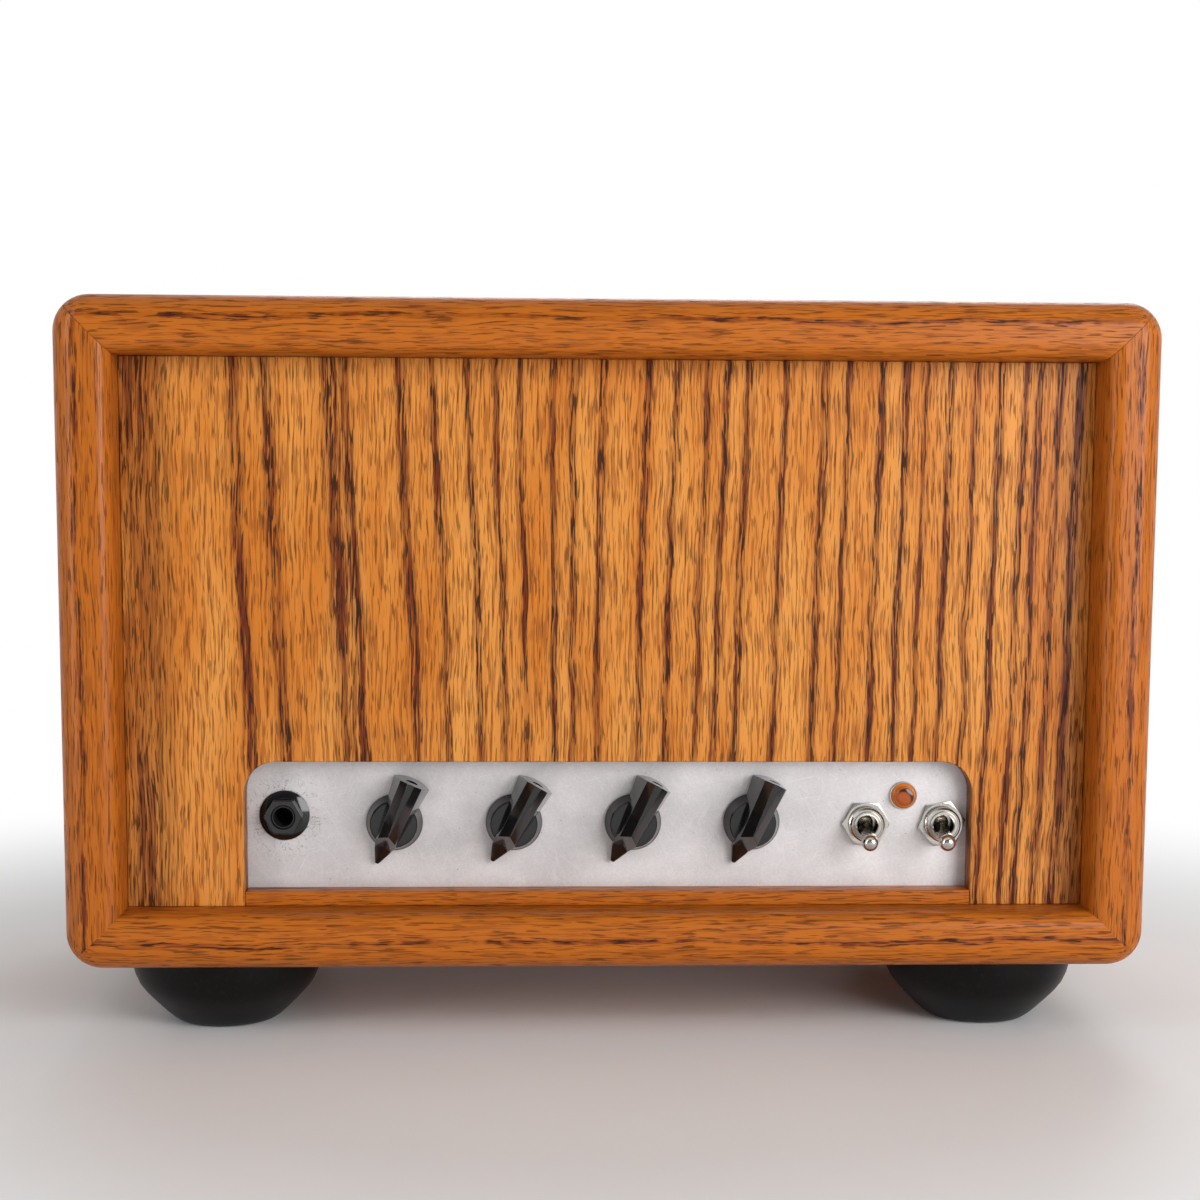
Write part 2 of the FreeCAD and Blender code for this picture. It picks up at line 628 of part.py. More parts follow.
def transformer_bolts():
    """Clamp bolts with a head at the back and a nut in front."""
    half = mains_stack_half_y
    return [bar(1.7, bolt - V(0, half + 3.5, 0), BACK, 2 * half + 3.5, tiny).fuse(
        [placed(hexagon(5.5, 2.4), bolt + V(0, half, 0), BACK),
         placed(hexagon(5.5, 2.4), bolt - V(0, half, 0), FRONT)])
        for bolt in transformer_bolt_places()]


def transformer_covers():
    """Drawn end bells, one each side of the core, clear of the bolts."""
    x, y = mains_transformer_x, mains_transformer_y
    half_x, half_y, inset = mains_stack_half_x, mains_stack_half_y, 9.5
    bells = []
    for side in (-1, 1):
        near, far = y + side * half_y, y + side * 2 * half_y
        bell = block((x - half_x + inset, x + half_x - inset), sorted((near, far)),
                     (z_deck + 2, z_deck + mains_stack_height - 2))
        uprights = [e for e in bell.Edges if abs(e.tangentAt(e.FirstParameter).y) > 0.9]
        bell = bell.makeChamfer(5, uprights)
        outer = [e for e in bell.Edges if abs(e.CenterOfMass.y - far) < 0.1]
        bells.append(bell.makeChamfer(7, outer))
    return bells


def output_transformer():
    """Laminated core with two windows, and the paper-wrapped winding that fills them."""
    x, y = output_transformer_x, output_transformer_y
    half_x, half_y, tall = output_stack
    coil_x, coil_y = output_coil
    winding_zs = (z_deck + 8, z_deck + tall - 8)
    core = block((x - half_x, x + half_x), (y - half_y, y + half_y), (z_deck, z_deck + tall))
    winding = block((x - coil_x, x + coil_x), (y - coil_y, y + coil_y), winding_zs)
    return core.cut(winding), winding


def turret_board():
    strip = block(board_xs, board_ys, (board_z, board_z + board_sheet))
    legs = [bar(3, V(x, y, z_plate_top), UP, board_lift, tiny)
            for x in (board_xs[0] + 6, board_xs[1] - 6)
            for y in (board_ys[0] + 6, board_ys[1] - 6)]
    return strip.fuse(legs)


def board_row(radius, length, xs, y):
    """Parts lying front to back on the board."""
    seat = board_z + board_sheet + radius
    return [bar(radius, V(x, y - length / 2, seat), BACK, length, slender) for x in xs]


def mains_inlet():
    """Three-pin appliance inlet: flange, hollow shroud and blades set back from its mouth."""
    y = y_chassis_rear
    shell = block((inlet_x - inlet_half_x, inlet_x + inlet_half_x), (y - inlet_depth, y),
                  (rear_z - inlet_half_z, rear_z + inlet_half_z))
    lip = block((inlet_x - 25, inlet_x + 25), (y, y + 3), (rear_z - 11.2, rear_z + 11.2))
    lip = lip.makeChamfer(5, [e for e in lip.Edges if abs(e.tangentAt(e.FirstParameter).y) > 0.9])
    cavity = block((inlet_x - 12, inlet_x + 12), (y - 16, y + 4), (rear_z - 8, rear_z + 8))
    corners = [e for e in cavity.Edges if abs(e.tangentAt(e.FirstParameter).y) > 0.9
               and e.CenterOfMass.z > rear_z]
    cavity = cavity.makeChamfer(4, corners)
    blades = [block((inlet_x + dx - 1, inlet_x + dx + 1), (y - 16, y - 2.5), (rear_z + dz - 2, rear_z + dz + 2))
              for dx, dz in ((-7, -2), (7, -2), (0, 2))]
    tabs = [block((inlet_x + dx - 0.4, inlet_x + dx + 0.4), (y - inlet_depth - 7, y - inlet_depth),
                  (rear_z + dz - 2.4, rear_z + dz + 2.4)) for dx, dz in ((-7, -2), (7, -2), (0, 2))]
    inlet = shell.fuse([lip]).cut(cavity).fuse(blades + tabs)
    for side in (-1, 1):
        inlet = inlet.cut(hole(inlet_screw_radius + 0.1, V(inlet_x + side * inlet_screw_x, y - 1, rear_z),
                               BACK, 6, tiny))
    return inlet


def inlet_screws():
    head = [(0, 0), (2.8, 0), (2.4, 1.4), (0, 1.6)]
    y = y_chassis_rear + 3
    seats = [V(inlet_x + side * inlet_screw_x, y, rear_z) for side in (-1, 1)]
    return [turned(head, seat, BACK, slender).fuse(bar(inlet_screw_radius, seat, FRONT, 9, tiny))
            for seat in seats]


def speaker_jack():
    y = y_inside_rear
    body = block((speaker_jack_x - 8, speaker_jack_x + 8), (y - 22, y), (rear_z - 9.5, rear_z + 9.5))
    body = body.fuse(bar(bushing_radius, V(speaker_jack_x, y, rear_z), BACK, sheet + 5.4, middling))
    return body.cut(rod(plug_bore_radius, V(speaker_jack_x, y - 18, rear_z), BACK, 30))


def speaker_jack_nut():
    return nut(12.7, 2.6, bushing_radius, V(speaker_jack_x, y_chassis_rear, rear_z), BACK,
               middling, 30)


def fuse_holder():
    y = y_chassis_rear
    barrel = turned([(0, -30), (5.0, -30), (6.0, -24), (6.0, 0), (8.2, 0), (8.2, 3), (0, 3)],
                    V(fuse_x, y, rear_z), BACK, middling)
    return barrel.cut(hole(4.2, V(fuse_x, y - 27, rear_z), BACK, 32, slender))


def fuse_cap():
    """Fluted cap with a carrier neck that holds one end of the fuse."""
    y = y_chassis_rear
    cap = turned([(0, 3.3), (6.6, 3.3), (6.2, 10.5), (5.4, 11.3), (0, 11.3)], V(fuse_x, y, rear_z), BACK,
                 16)
    neck = bar(3.9, V(fuse_x, y - 6, rear_z), BACK, 10, slender)
    slot = block((fuse_x - 4.5, fuse_x + 4.5), (y + 10, y + 12), (rear_z - 0.6, rear_z + 0.6))
    return cap.fuse(neck).cut(slot).cut(hole(fuse_radius, V(fuse_x, y - 7, rear_z), BACK, 6, slender))


def fuse():
    y = y_chassis_rear
    return bar(fuse_radius, V(fuse_x, y - 1 - fuse_length, rear_z), BACK, fuse_length, slender)


def build():
    os.makedirs("parts", exist_ok=True)
    boards = cabinet_boards()
    boards["cabinet_bottom"] = drilled_bottom(boards["cabinet_bottom"])
    for name, solid in boards.items():
        save(name, solid)
    save("front_panel", front_panel())
    save("sill_strip", sill_strip())
    save("panel_cleats", *panel_cleats())
    save("back_rail", back_rail())
    save("rail_cleats", *rail_cleats())
    save("rail_screws", *rail_screws())
    save("rubber_feet", *rubber_feet())
    save("foot_washers", *foot_washers())
    save("foot_screws", *foot_screws())
    save("chassis", chassis())
    save("chassis_bottom_plate", chassis_bottom_plate())
    save("chassis_screws", *chassis_screws())
    save("chassis_screw_nuts", *chassis_screw_nuts())
    save("input_jack", input_jack())
    save("input_jack_nut", input_jack_nut())
    save("potentiometers", *[potentiometer(x) for x in knob_xs])
    save("potentiometer_nuts", *[potentiometer_nut(x) for x in knob_xs])
    for number, (x, turn) in enumerate(zip(knob_xs, knob_turns_from_down), start=1):
        knob, screw = knob_set(x, turn)
        save("pointer_knob_%d" % number, knob)
        save("knob_set_screw_%d" % number, screw)
        save("potentiometer_shaft_%d" % number, potentiometer_shaft(x))
    save("toggle_switches", *[toggle_switch(x) for x in toggle_xs])
    save("toggle_nuts", *[toggle_nut(x, turn) for x, turn in zip(toggle_xs, toggle_nut_turns)])
    for number, x in enumerate(toggle_xs, start=1):
        save("toggle_lever_%d" % number, toggle_lever(x))
    save("pilot_bezel", pilot_bezel())
    save("pilot_lens", pilot_lens())
    save("valve_sockets", *[valve_socket(x, size) for x, size in valve_places])
    save("valve_glass", *[valve_glass(x, size) for x, size in valve_places])
    save("valve_bases", *[valve_base(x) for x in power_valve_xs])
    save("valve_electrodes", *[valve_electrodes(x, size) for x, size in valve_places])
    save("mains_transformer_core", mains_transformer())
    save("mains_transformer_covers", *transformer_covers())
    save("mains_transformer_bolts", *transformer_bolts())
    core, winding = output_transformer()
    save("output_transformer_core", core)
    save("output_transformer_winding", winding)
    save("turret_board", turret_board())
    save("filter_capacitors", *board_row(8.5, 36, (28.0, 48.0), -21.0))
    save("coupling_capacitors", *board_row(3.6, 22, (-80.0, -60.0, -40.0, -20.0), -32.0))
    save("resistors", *board_row(2.2, 12, (-90.0, -70.0, -50.0, -30.0, -10.0, 8.0), -8.0))
    save("mains_inlet", mains_inlet())
    save("inlet_screws", *inlet_screws())
    save("speaker_jack", speaker_jack())
    save("speaker_jack_nut", speaker_jack_nut())
    save("fuse_holder", fuse_holder())
    save("fuse_cap", fuse_cap())
    save("fuse", fuse())


build()
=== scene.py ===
import json
from math import asin, cos, pi, radians, sin, sqrt

import bmesh
import bpy
from bpy.props import FloatProperty, FloatVectorProperty, PointerProperty
from mathutils import Matrix, Vector

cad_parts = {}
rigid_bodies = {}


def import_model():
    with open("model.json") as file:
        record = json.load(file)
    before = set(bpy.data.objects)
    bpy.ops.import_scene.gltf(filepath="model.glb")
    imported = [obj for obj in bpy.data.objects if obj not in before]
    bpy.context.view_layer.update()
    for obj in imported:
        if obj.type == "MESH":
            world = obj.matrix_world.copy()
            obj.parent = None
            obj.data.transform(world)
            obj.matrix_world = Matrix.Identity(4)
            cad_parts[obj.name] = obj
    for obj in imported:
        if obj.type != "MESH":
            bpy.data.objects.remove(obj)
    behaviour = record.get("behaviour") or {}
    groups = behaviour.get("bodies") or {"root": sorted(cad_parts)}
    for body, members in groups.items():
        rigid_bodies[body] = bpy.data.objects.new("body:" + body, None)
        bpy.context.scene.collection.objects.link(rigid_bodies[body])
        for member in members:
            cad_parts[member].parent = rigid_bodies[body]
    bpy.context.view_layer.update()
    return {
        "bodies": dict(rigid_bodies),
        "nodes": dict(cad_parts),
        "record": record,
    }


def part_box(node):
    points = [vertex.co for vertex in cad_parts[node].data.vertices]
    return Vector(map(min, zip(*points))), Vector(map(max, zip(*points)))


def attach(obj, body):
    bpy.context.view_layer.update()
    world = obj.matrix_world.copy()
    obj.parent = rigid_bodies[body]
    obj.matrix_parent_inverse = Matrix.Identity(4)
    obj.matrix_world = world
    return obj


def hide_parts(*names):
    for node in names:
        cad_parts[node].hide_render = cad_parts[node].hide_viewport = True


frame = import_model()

bl_info = {
    "name": "Valve amplifier head",
    "version": (1, 0, 0),
    "blender": (4, 5, 0),
    "location": "3D View > Sidebar > Amplifier",
    "description": "Dresses an oak valve amplifier head with its wood, metal and fittings",
    "category": "Object",
}

# Shapes are modelled in millimetres and scaled once, when they become a piece
MM = 0.001
UP = Vector((0, 0, 1))
ACROSS, DEEP, UPRIGHT = 0, 1, 2


def length(name, description, default):
    return FloatProperty(name=name, description=description, default=default * MM,
                         subtype="DISTANCE", unit="LENGTH", precision=5)


def amount(name, description, default):
    return FloatProperty(name=name, description=description, default=default, min=0.0)


def turn(name, description, default):
    return FloatProperty(name=name, description=description, default=radians(default),
                         subtype="ANGLE", unit="ROTATION")


def linear(level):
    level /= 255
    return level / 12.92 if level <= 0.04045 else ((level + 0.055) / 1.055) ** 2.4


def colour(name, description, red, green, blue):
    """Colour property from the red, green and blue levels that a screen shows, 0 to 255."""
    return FloatVectorProperty(name=name, description=description, subtype="COLOR", min=0.0, max=1.0,
                               default=(linear(red), linear(green), linear(blue)))


class AmplifierCabinet(bpy.types.PropertyGroup):
    corner_radius: length("Corner radius", "Round of the case's four corners seen from the front", 12.0)
    outer_roundover: length("Outer roundover", "Round of the front's outer edge", 9.0)
    inner_roundover: length("Inner roundover", "Round of the front's inner edge", 5.5)
    rear_bevel: length("Rear bevel", "Bevel of the back's outer edge", 2.5)
    joint_groove: length("Joint groove", "Softened edge of the boards at their mitres", 0.22)
    panel_edge: length("Panel edge", "Softened edge of the front panel and the strip", 0.5)


class AmplifierOak(bpy.types.PropertyGroup):
    pale: colour("Pale oak", "Wood between the dark bands, at its palest", 214, 143, 66)
    warm: colour("Warm oak", "Wood between the dark bands, at its warmest", 196, 115, 38)
    frame: colour("Frame oak", "Wood of the boards of the case", 178, 97, 24)
    streak: colour("Streak", "Fine streaks along the grain", 134, 68, 20)
    # This colour also paints the shade at the panel's side edges and on the window's cut wall
    band_and_shade: colour("Band", "Dark bands of the late wood", 104, 42, 12)
    pore: colour("Pore", "Open pores, filled with dark finish", 54, 28, 12)
    shine: amount("Shine", "Weight of the oil finish's coat", 0.22)


class AmplifierKnob(bpy.types.PropertyGroup):
    lift: length("Lift", "Gap between the knob and the metal face", 0.9)
    height: length("Height", "Height of the grip", 17.2)
    tail_reach: length("Tail reach", "From the shaft to the end of the grip's tail", 16.5)
    tail_half: length("Tail half width", "Half the width of the tail at its foot", 6.5)
    tail_arc: length("Tail arc", "Radius of the tail's round end", 14.0)
    pointer_reach: length("Pointer reach", "From the shaft to the pointer's tip", 15.2)
    skirt_radius: length("Skirt radius", "Radius of the round skirt at its foot", 9.7)
    hub_radius: length("Hub radius", "Radius of the skirt at its top", 7.7)
    hub_height: length("Hub height", "Height of the skirt", 5.5)
    edge: length("Edge", "Softened edge of the moulding", 0.40)
    first_turn: turn("First turn", "Pointer of knob 1, from straight down towards the left", 23.5)
    second_turn: turn("Second turn", "Pointer of knob 2", 29.5)
    third_turn: turn("Third turn", "Pointer of knob 3", 28.0)
    fourth_turn: turn("Fourth turn", "Pointer of knob 4", 24.5)


class AmplifierSwitches(bpy.types.PropertyGroup):
    bushing_radius: length("Bushing radius", "Outside of the switches' threaded bushing", 5.95)
    bushing_rise: length("Bushing rise", "How far the bushing stands out of the metal face", 5.4)
    nut_flats: length("Nut flats", "Across the flats of the nuts", 14.3)
    nut_height: length("Nut height", "Height of the nuts", 2.1)
    pivot_depth: length("Pivot depth", "From the metal face back to the lever's pivot", 1.6)
    twist: turn("Twist", "Lean of both switches in the face", 15.0)
    tilt: turn("Tilt", "Tip of the levers at rest", 12.5)


class AmplifierLight(bpy.types.PropertyGroup):
    key_power: amount("Key lamp", "Power of the large lamp at the right, in watts", 13.9)
    strip_power: amount("Strip lamp", "Power of the tall lamp at the left, in watts", 4.0)
    fill_power: amount("Fill lamp", "Power of the lamp in front, in watts", 0.9)
    back_power: amount("Back lamp", "Power of the lamp behind, in watts", 6.5)
    ambient: amount("Ambient", "Level of the room's light on the object", 0.13)
    dark_side: amount("Dark side", "Level that gloss mirrors from the room in front", 0.035)


class AmplifierCamera(bpy.types.PropertyGroup):
    across: length("Across", "Camera's place across the front", -31.79)
    back: length("Back", "Camera's place in front of the object", -787.09)
    high: length("High", "Camera's height above the floor", 187.62)
    pitch: turn("Pitch", "Camera's lean down", 6.415)
    yaw: turn("Yaw", "Camera's turn to the right", 2.329)
    roll: turn("Roll", "Camera's turn about its own axis", 0.304)
    lens: FloatProperty(name="Lens", description="Focal length", default=63.14, subtype="DISTANCE_CAMERA")


def settings(group):
    return getattr(bpy.context.scene, group)


def mm(value):
    """A setting in millimetres."""
    return value / MM


def node_box(node):
    """Lowest and highest corner of a node, in millimetres."""
    low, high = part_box(node)
    return low / MM, high / MM


def node_centre(node):
    low, high = node_box(node)
    return (low + high) / 2


def body_of(node):
    return next(name for name, empty in frame["bodies"].items() if frame["nodes"][node].parent == empty)


# Places that the frame gives
case_low, case_high = node_box("cabinet_left_side")[0], node_box("cabinet_right_side")[1]
case_low.z, case_high.z = node_box("cabinet_bottom")[0].z, node_box("cabinet_top")[1].z
z_sill = node_box("front_panel")[0].z
z_ceiling = node_box("front_panel")[1].z
inner_left, inner_right = node_box("front_panel")[0].x, node_box("front_panel")[1].x
y_face = node_box("chassis")[0].y
y_rear_face = node_box("chassis")[1].y
z_deck = node_box("chassis")[1].z
rear_z = node_centre("speaker_jack_nut").z


# Shapes

def turned(profile, segments=64):
    """Outline of (radius, height) points spun round +Z."""
    shape = bmesh.new()
    rim = [shape.verts.new((radius, 0, height)) for radius, height in profile]
    line = [shape.edges.new(pair) for pair in zip(rim, rim[1:])]
    bmesh.ops.spin(shape, geom=rim + line, cent=(0, 0, 0), axis=UP, dvec=(0, 0, 0), angle=2 * pi,
                   steps=segments, use_merge=True)
    bmesh.ops.remove_doubles(shape, verts=shape.verts, dist=1e-4)
    bmesh.ops.recalc_face_normals(shape, faces=shape.faces)
    return shape


def prism(outline, low, high):
    """Flat outline of (x, y) corners raised from a low to a high level."""
    shape = bmesh.new()
    face = shape.faces.new([shape.verts.new((x, y, low)) for x, y in outline])
    grown = bmesh.ops.extrude_face_region(shape, geom=[face])
    corners = [item for item in grown["geom"] if isinstance(item, bmesh.types.BMVert)]
    bmesh.ops.translate(shape, verts=corners, vec=(0, 0, high - low))
    bmesh.ops.recalc_face_normals(shape, faces=shape.faces)
    return shape


def block(low, high):
    shape = bmesh.new()
    size, middle = Vector(high) - Vector(low), (Vector(high) + Vector(low)) / 2
    bmesh.ops.create_cube(shape, size=1.0, matrix=Matrix.Translation(middle) @ Matrix.Diagonal((*size, 1)))
    return shape


def carve(shape, point, normal):
    """Cut away what lies beyond a plane and close the cut."""
    everything = shape.verts[:] + shape.edges[:] + shape.faces[:]
    cut = bmesh.ops.bisect_plane(shape, geom=everything, dist=1e-5, plane_co=point, plane_no=normal,
                                 clear_outer=True)
    rim = [item for item in cut["geom_cut"] if isinstance(item, bmesh.types.BMEdge)]
    bmesh.ops.edgeloop_fill(shape, edges=rim)


def round_edges(shape, edges, width, segments):
    bmesh.ops.bevel(shape, geom=edges, offset=width, offset_type="OFFSET", segments=segments,
                    profile=0.5, affect="EDGES", material=-1, clamp_overlap=True)


def soften(shape, width, segments=2, angle=30):
    """Round every edge that is sharper than an angle."""
    sharp = [edge for edge in shape.edges
             if len(edge.link_faces) == 2 and edge.calc_face_angle(0) > radians(angle)]
    round_edges(shape, sharp, width, segments)


def hexagon(flats):
    corner = flats / sqrt(3)
    return [(corner * cos(pi / 3 * i), corner * sin(pi / 3 * i)) for i in range(6)]


def gathered(*parts):
    """One shape from several, each a shape or a pair of a shape and its place."""
    whole = bmesh.new()
    for part in parts:
        shape, place = part if isinstance(part, tuple) else (part, Matrix())
        mesh = bpy.data.meshes.new("part")
        shape.to_mesh(mesh)
        mesh.transform(place)
        whole.from_mesh(mesh)
        bpy.data.meshes.remove(mesh)
    return whole


def temporary(shape):
    mesh = bpy.data.meshes.new("cutting")
    shape.to_mesh(mesh)
    made = bpy.data.objects.new("cutting", mesh)
    bpy.context.scene.collection.objects.link(made)
    return made


def cut_out(shape, tool):
    """Take one closed shape out of another."""
    base, cutter = temporary(shape), temporary(tool)
    step = base.modifiers.new("cut", "BOOLEAN")
    step.operation, step.solver, step.object = "DIFFERENCE", "EXACT", cutter
    evaluated = base.evaluated_get(bpy.context.evaluated_depsgraph_get())
    result = bmesh.new()
    result.from_mesh(evaluated.to_mesh())
    evaluated.to_mesh_clear()
    for made in (base, cutter):
        mesh = made.data
        bpy.data.objects.remove(made)
        bpy.data.meshes.remove(mesh)
    return result


def node_shape(node):
    """Merged copy of a node's own shape, with its flat faces made whole."""
    shape = bmesh.new()
    shape.from_mesh(frame["nodes"][node].data)
    bmesh.ops.transform(shape, matrix=Matrix.Scale(1 / MM, 4), verts=shape.verts)
    bmesh.ops.remove_doubles(shape, verts=shape.verts, dist=1e-3)
    bmesh.ops.dissolve_limit(shape, angle_limit=radians(1), verts=shape.verts, edges=shape.edges)
    return shape


def node_islands(node):
    """Middle of each separate solid of a node, in millimetres."""
    shape = node_shape(node)
    middles, seen = [], set()
    for start in shape.verts:
        if start in seen:
            continue
        group, waiting = [], [start]
        seen.add(start)
        while waiting:
            vert = waiting.pop()
            group.append(vert.co)
            for edge in vert.link_edges:
                other = edge.other_vert(vert)
                if other not in seen:
                    seen.add(other)
                    waiting.append(other)
        low = Vector([min(spot[i] for spot in group) for i in range(3)])
        high = Vector([max(spot[i] for spot in group) for i in range(3)])
        middles.append((low + high) / 2)
    shape.free()
    return middles


def piece(name, shape, slot, nodes, body="amplifier", material=None, smooth=32):
    """Finish a shape as a piece that rides on a body and stands for nodes.

    Without a material it has the finish of its slot."""
    bmesh.ops.transform(shape, matrix=Matrix.Scale(MM, 4), verts=shape.verts)
    mesh = bpy.data.meshes.new(name)
    shape.to_mesh(mesh)
    shape.free()
    mesh.materials.append(material or finish(slot))
    mesh.shade_smooth()
    mesh.set_sharp_from_angle(angle=radians(smooth))
    made = bpy.data.objects.new(name, mesh)
    bpy.context.scene.collection.objects.link(made)
    weight = made.modifiers.new("even shading", "WEIGHTED_NORMAL")
    weight.keep_sharp = True
    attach(made, body)
    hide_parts(*nodes)


def facing_front(x, z, lift=0.0, angle=0.0):
    """Place on the metal face: local +Z comes out of it and local +X turns up from the right."""
    return (Matrix.Translation((x, y_face - lift, z)) @ Matrix.Rotation(radians(90), 4, "X")
            @ Matrix.Rotation(angle, 4, "Z"))


def facing_back(x, z):
    """Place on the chassis's rear face: local +Z comes out of it."""
    return Matrix.Translation((x, y_rear_face, z)) @ Matrix.Rotation(radians(-90), 4, "X")


# Shader arithmetic

class Value:
    """A shader socket that takes arithmetic, one Math node a step."""

    def __init__(self, shader, socket):
        self.shader, self.socket = shader, socket

    def __add__(self, other):
        return self.shader.math("ADD", self, other)

    def __sub__(self, other):
        return self.shader.math("SUBTRACT", self, other)

    def __rsub__(self, other):
        return self.shader.math("SUBTRACT", other, self)

    def __mul__(self, other):
        return self.shader.math("MULTIPLY", self, other)

    def __truediv__(self, other):
        return self.shader.math("DIVIDE", self, other)

    def __abs__(self):
        return self.shader.math("ABSOLUTE", self)

    __radd__ = __add__
    __rmul__ = __mul__


class Shader:
    """A material or a world and the nodes that colour it."""

    def __init__(self, owner):
        owner.use_nodes = True
        self.owner, self.tree = owner, owner.node_tree
        self.tree.nodes.clear()

    def node(self, kind, options=None, sockets=None, output=0):
        """Add a node: its options first, then its sockets' values and links."""
        made = self.tree.nodes.new(kind)
        for name, option in (options or {}).items():
            if name == "stops":
                self.set_stops(made.color_ramp, option)
            else:
                setattr(made, name, option)
        for name, value in (sockets or {}).items():
            if isinstance(value, Value):
                self.tree.links.new(value.socket, made.inputs[name])
            else:
                made.inputs[name].default_value = value
        return Value(self, made.outputs[output]) if len(made.outputs) else made

    @staticmethod
    def set_stops(ramp, stops):
        while len(ramp.elements) < len(stops):
            ramp.elements.new(0.5)
        for element, (place, level) in zip(ramp.elements, stops):
            element.position, element.color = place, (level, level, level, 1)

    def math(self, operation, *values):
        return self.node("ShaderNodeMath", {"operation": operation}, dict(enumerate(values)))

    def axes(self, coordinates):
        """Texture coordinates of a kind, one value an axis."""
        spot = self.node("ShaderNodeTexCoord", output=coordinates)
        split = self.tree.nodes.new("ShaderNodeSeparateXYZ")
        self.tree.links.new(spot.socket, split.inputs[0])
        return [Value(self, axis) for axis in split.outputs]

    def place(self):
        """Object coordinates in millimetres."""
        return [axis * (1 / MM) for axis in self.axes("Object")]

    def distance(self, x, y, centre=(0, 0)):
        """Distance from a centre over two axes."""
        aside, along = x - centre[0], y - centre[1]
        return self.math("SQRT", aside * aside + along * along)

    def rays(self):
        """Masks of the rays that look straight, by a mirror and through glass."""
        return [self.node("ShaderNodeLightPath", output="Is %s Ray" % kind)
                for kind in ("Camera", "Glossy", "Transmission")]

    def vector(self, x, y, z):
        return self.node("ShaderNodeCombineXYZ", sockets={"X": x, "Y": y, "Z": z})

    def noise(self, x, y, z, detail=2.0, roughness=0.5, seed=0.0):
        """Noise from 0 to 1, with features about one unit of its coordinates across."""
        return self.node("ShaderNodeTexNoise", {"noise_dimensions": "4D"},
                         {"Vector": self.vector(x, y, z), "W": seed, "Scale": 1.0,
                          "Detail": detail, "Roughness": roughness})

    def step(self, value, low, high, start=0.0, end=1.0):
        """Start below low, end above high, and eased between."""
        return self.node("ShaderNodeMapRange", {"interpolation_type": "SMOOTHSTEP"},
                         {"Value": value, "From Min": low, "From Max": high, "To Min": start, "To Max": end})

    def blend(self, amount_of, first, second, kind="MIX"):
        """Mix of two colours."""
        return self.node("ShaderNodeMix", {"data_type": "RGBA", "blend_type": kind},
                         {0: amount_of, 6: self.paint(first), 7: self.paint(second)}, output=2)

    @staticmethod
    def paint(tint):
        return tint if isinstance(tint, Value) or len(tint) == 4 else (*tint, 1.0)

    def bump(self, height, depth, strength):
        """Normal from a height of 0 to 1 that stands for a depth in millimetres."""
        return self.node("ShaderNodeBump", sockets={"Height": height, "Distance": depth * MM,
                                                    "Strength": strength})

    def surface(self, **sockets):
        """Finish the material with one principled surface."""
        named = {name.replace("_", " ").title().replace("Ior", "IOR"): value
                 for name, value in sockets.items()}
        if "Base Color" in named:
            named["Base Color"] = self.paint(named["Base Color"])
        body = self.node("ShaderNodeBsdfPrincipled", sockets=named)
        self.node("ShaderNodeOutputMaterial", sockets={"Surface": body})
        return self.owner


def oak(name, grain, base, seed, bands, pale=None, patches=()):
    """Oiled oak: streaks, pores and dark bands that run along one axis."""
    wood = settings("amplifier_oak")
    shader = Shader(bpy.data.materials.new(name))
    place = shader.place()
    along, deep = place[grain], place[DEEP]
    across = place[ACROSS if grain == UPRIGHT else UPRIGHT]

    def figure(side, fineness, run, shift, **more):
        """Noise drawn out along the grain, by how many features a millimetre holds each way."""
        return shader.noise(side * fineness, deep * fineness, along * run, seed=seed + shift, **more)

    sway = (shader.noise(across * 0.012, deep * 0.02, along * 0.02, seed=seed) - 0.5) * 3
    ripple = (figure(across, 0.05, 0.05, 3, detail=1.5) - 0.5) * 1.5
    rag = figure(across, 1.3, 0.16, 5) - 0.5
    line = across + sway + ripple
    fleck = figure(line, 1.6, 0.10, 7, detail=1.5, roughness=0.6)
    fine = figure(line, 1.05, 0.055, 11, roughness=0.55)
    patch = figure(line, 0.07, 0.01, 13)
    band_and_shade = bands(shader, line, along, deep, rag)
    # Painted shade: the panel's edge patches, partly stains and partly shade next to the frame, darken the
    # wood with the band colour
    for centre, half, low, high, depth in patches:
        aside = 1 - shader.step(abs(line - centre + rag * 5) / half, 0.5, 1.2)
        inside = (shader.step(along + rag * 60, low, low + 22)
                  * (1 - shader.step(along + rag * 60, high - 22, high)))
        band_and_shade = shader.math("MAXIMUM", band_and_shade, aside * inside * depth)
    pores = shader.step(fleck + band_and_shade * 0.05, 0.55, 0.61)
    streaks = shader.step(fine, 0.49, 0.59)
    strand = shader.step(figure(line, 1.15, 0.03, 19), 0.40, 0.56)
    tone = shader.blend(shader.step(patch, 0.3, 0.7), pale or base, base)
    tone = shader.blend(streaks * 0.58, tone, wood.streak)
    tone = shader.blend(band_and_shade * (0.34 + strand * 0.66), tone, wood.band_and_shade)
    tone = shader.blend(pores * (0.60 + band_and_shade * 0.34), tone, wood.pore)
    relief = 1 - pores * 0.8 - streaks * 0.15 - band_and_shade * 0.25
    return shader.surface(base_color=tone, roughness=0.40 + pores * 0.2,
                          coat_weight=wood.shine * (1 - pores * 0.6), coat_roughness=0.28,
                          specular_ior_level=0.1, normal=shader.bump(relief, 0.07, 0.5))


def plain_bands(shader, line, along, deep, rag):
    """Uneven clusters of late wood, as sawn boards show them."""
    rings = shader.noise((line + deep * 0.5 + rag) * 0.16, 0.0, along * 0.003, detail=3, roughness=0.6,
                         seed=17.0)
    broken = shader.noise(line * 0.05, deep * 0.05, along * 0.02, detail=2, seed=27.0)
    return shader.step(rings, 0.56, 0.68) * (0.25 + shader.step(broken, 0.40, 0.60) * 0.75)


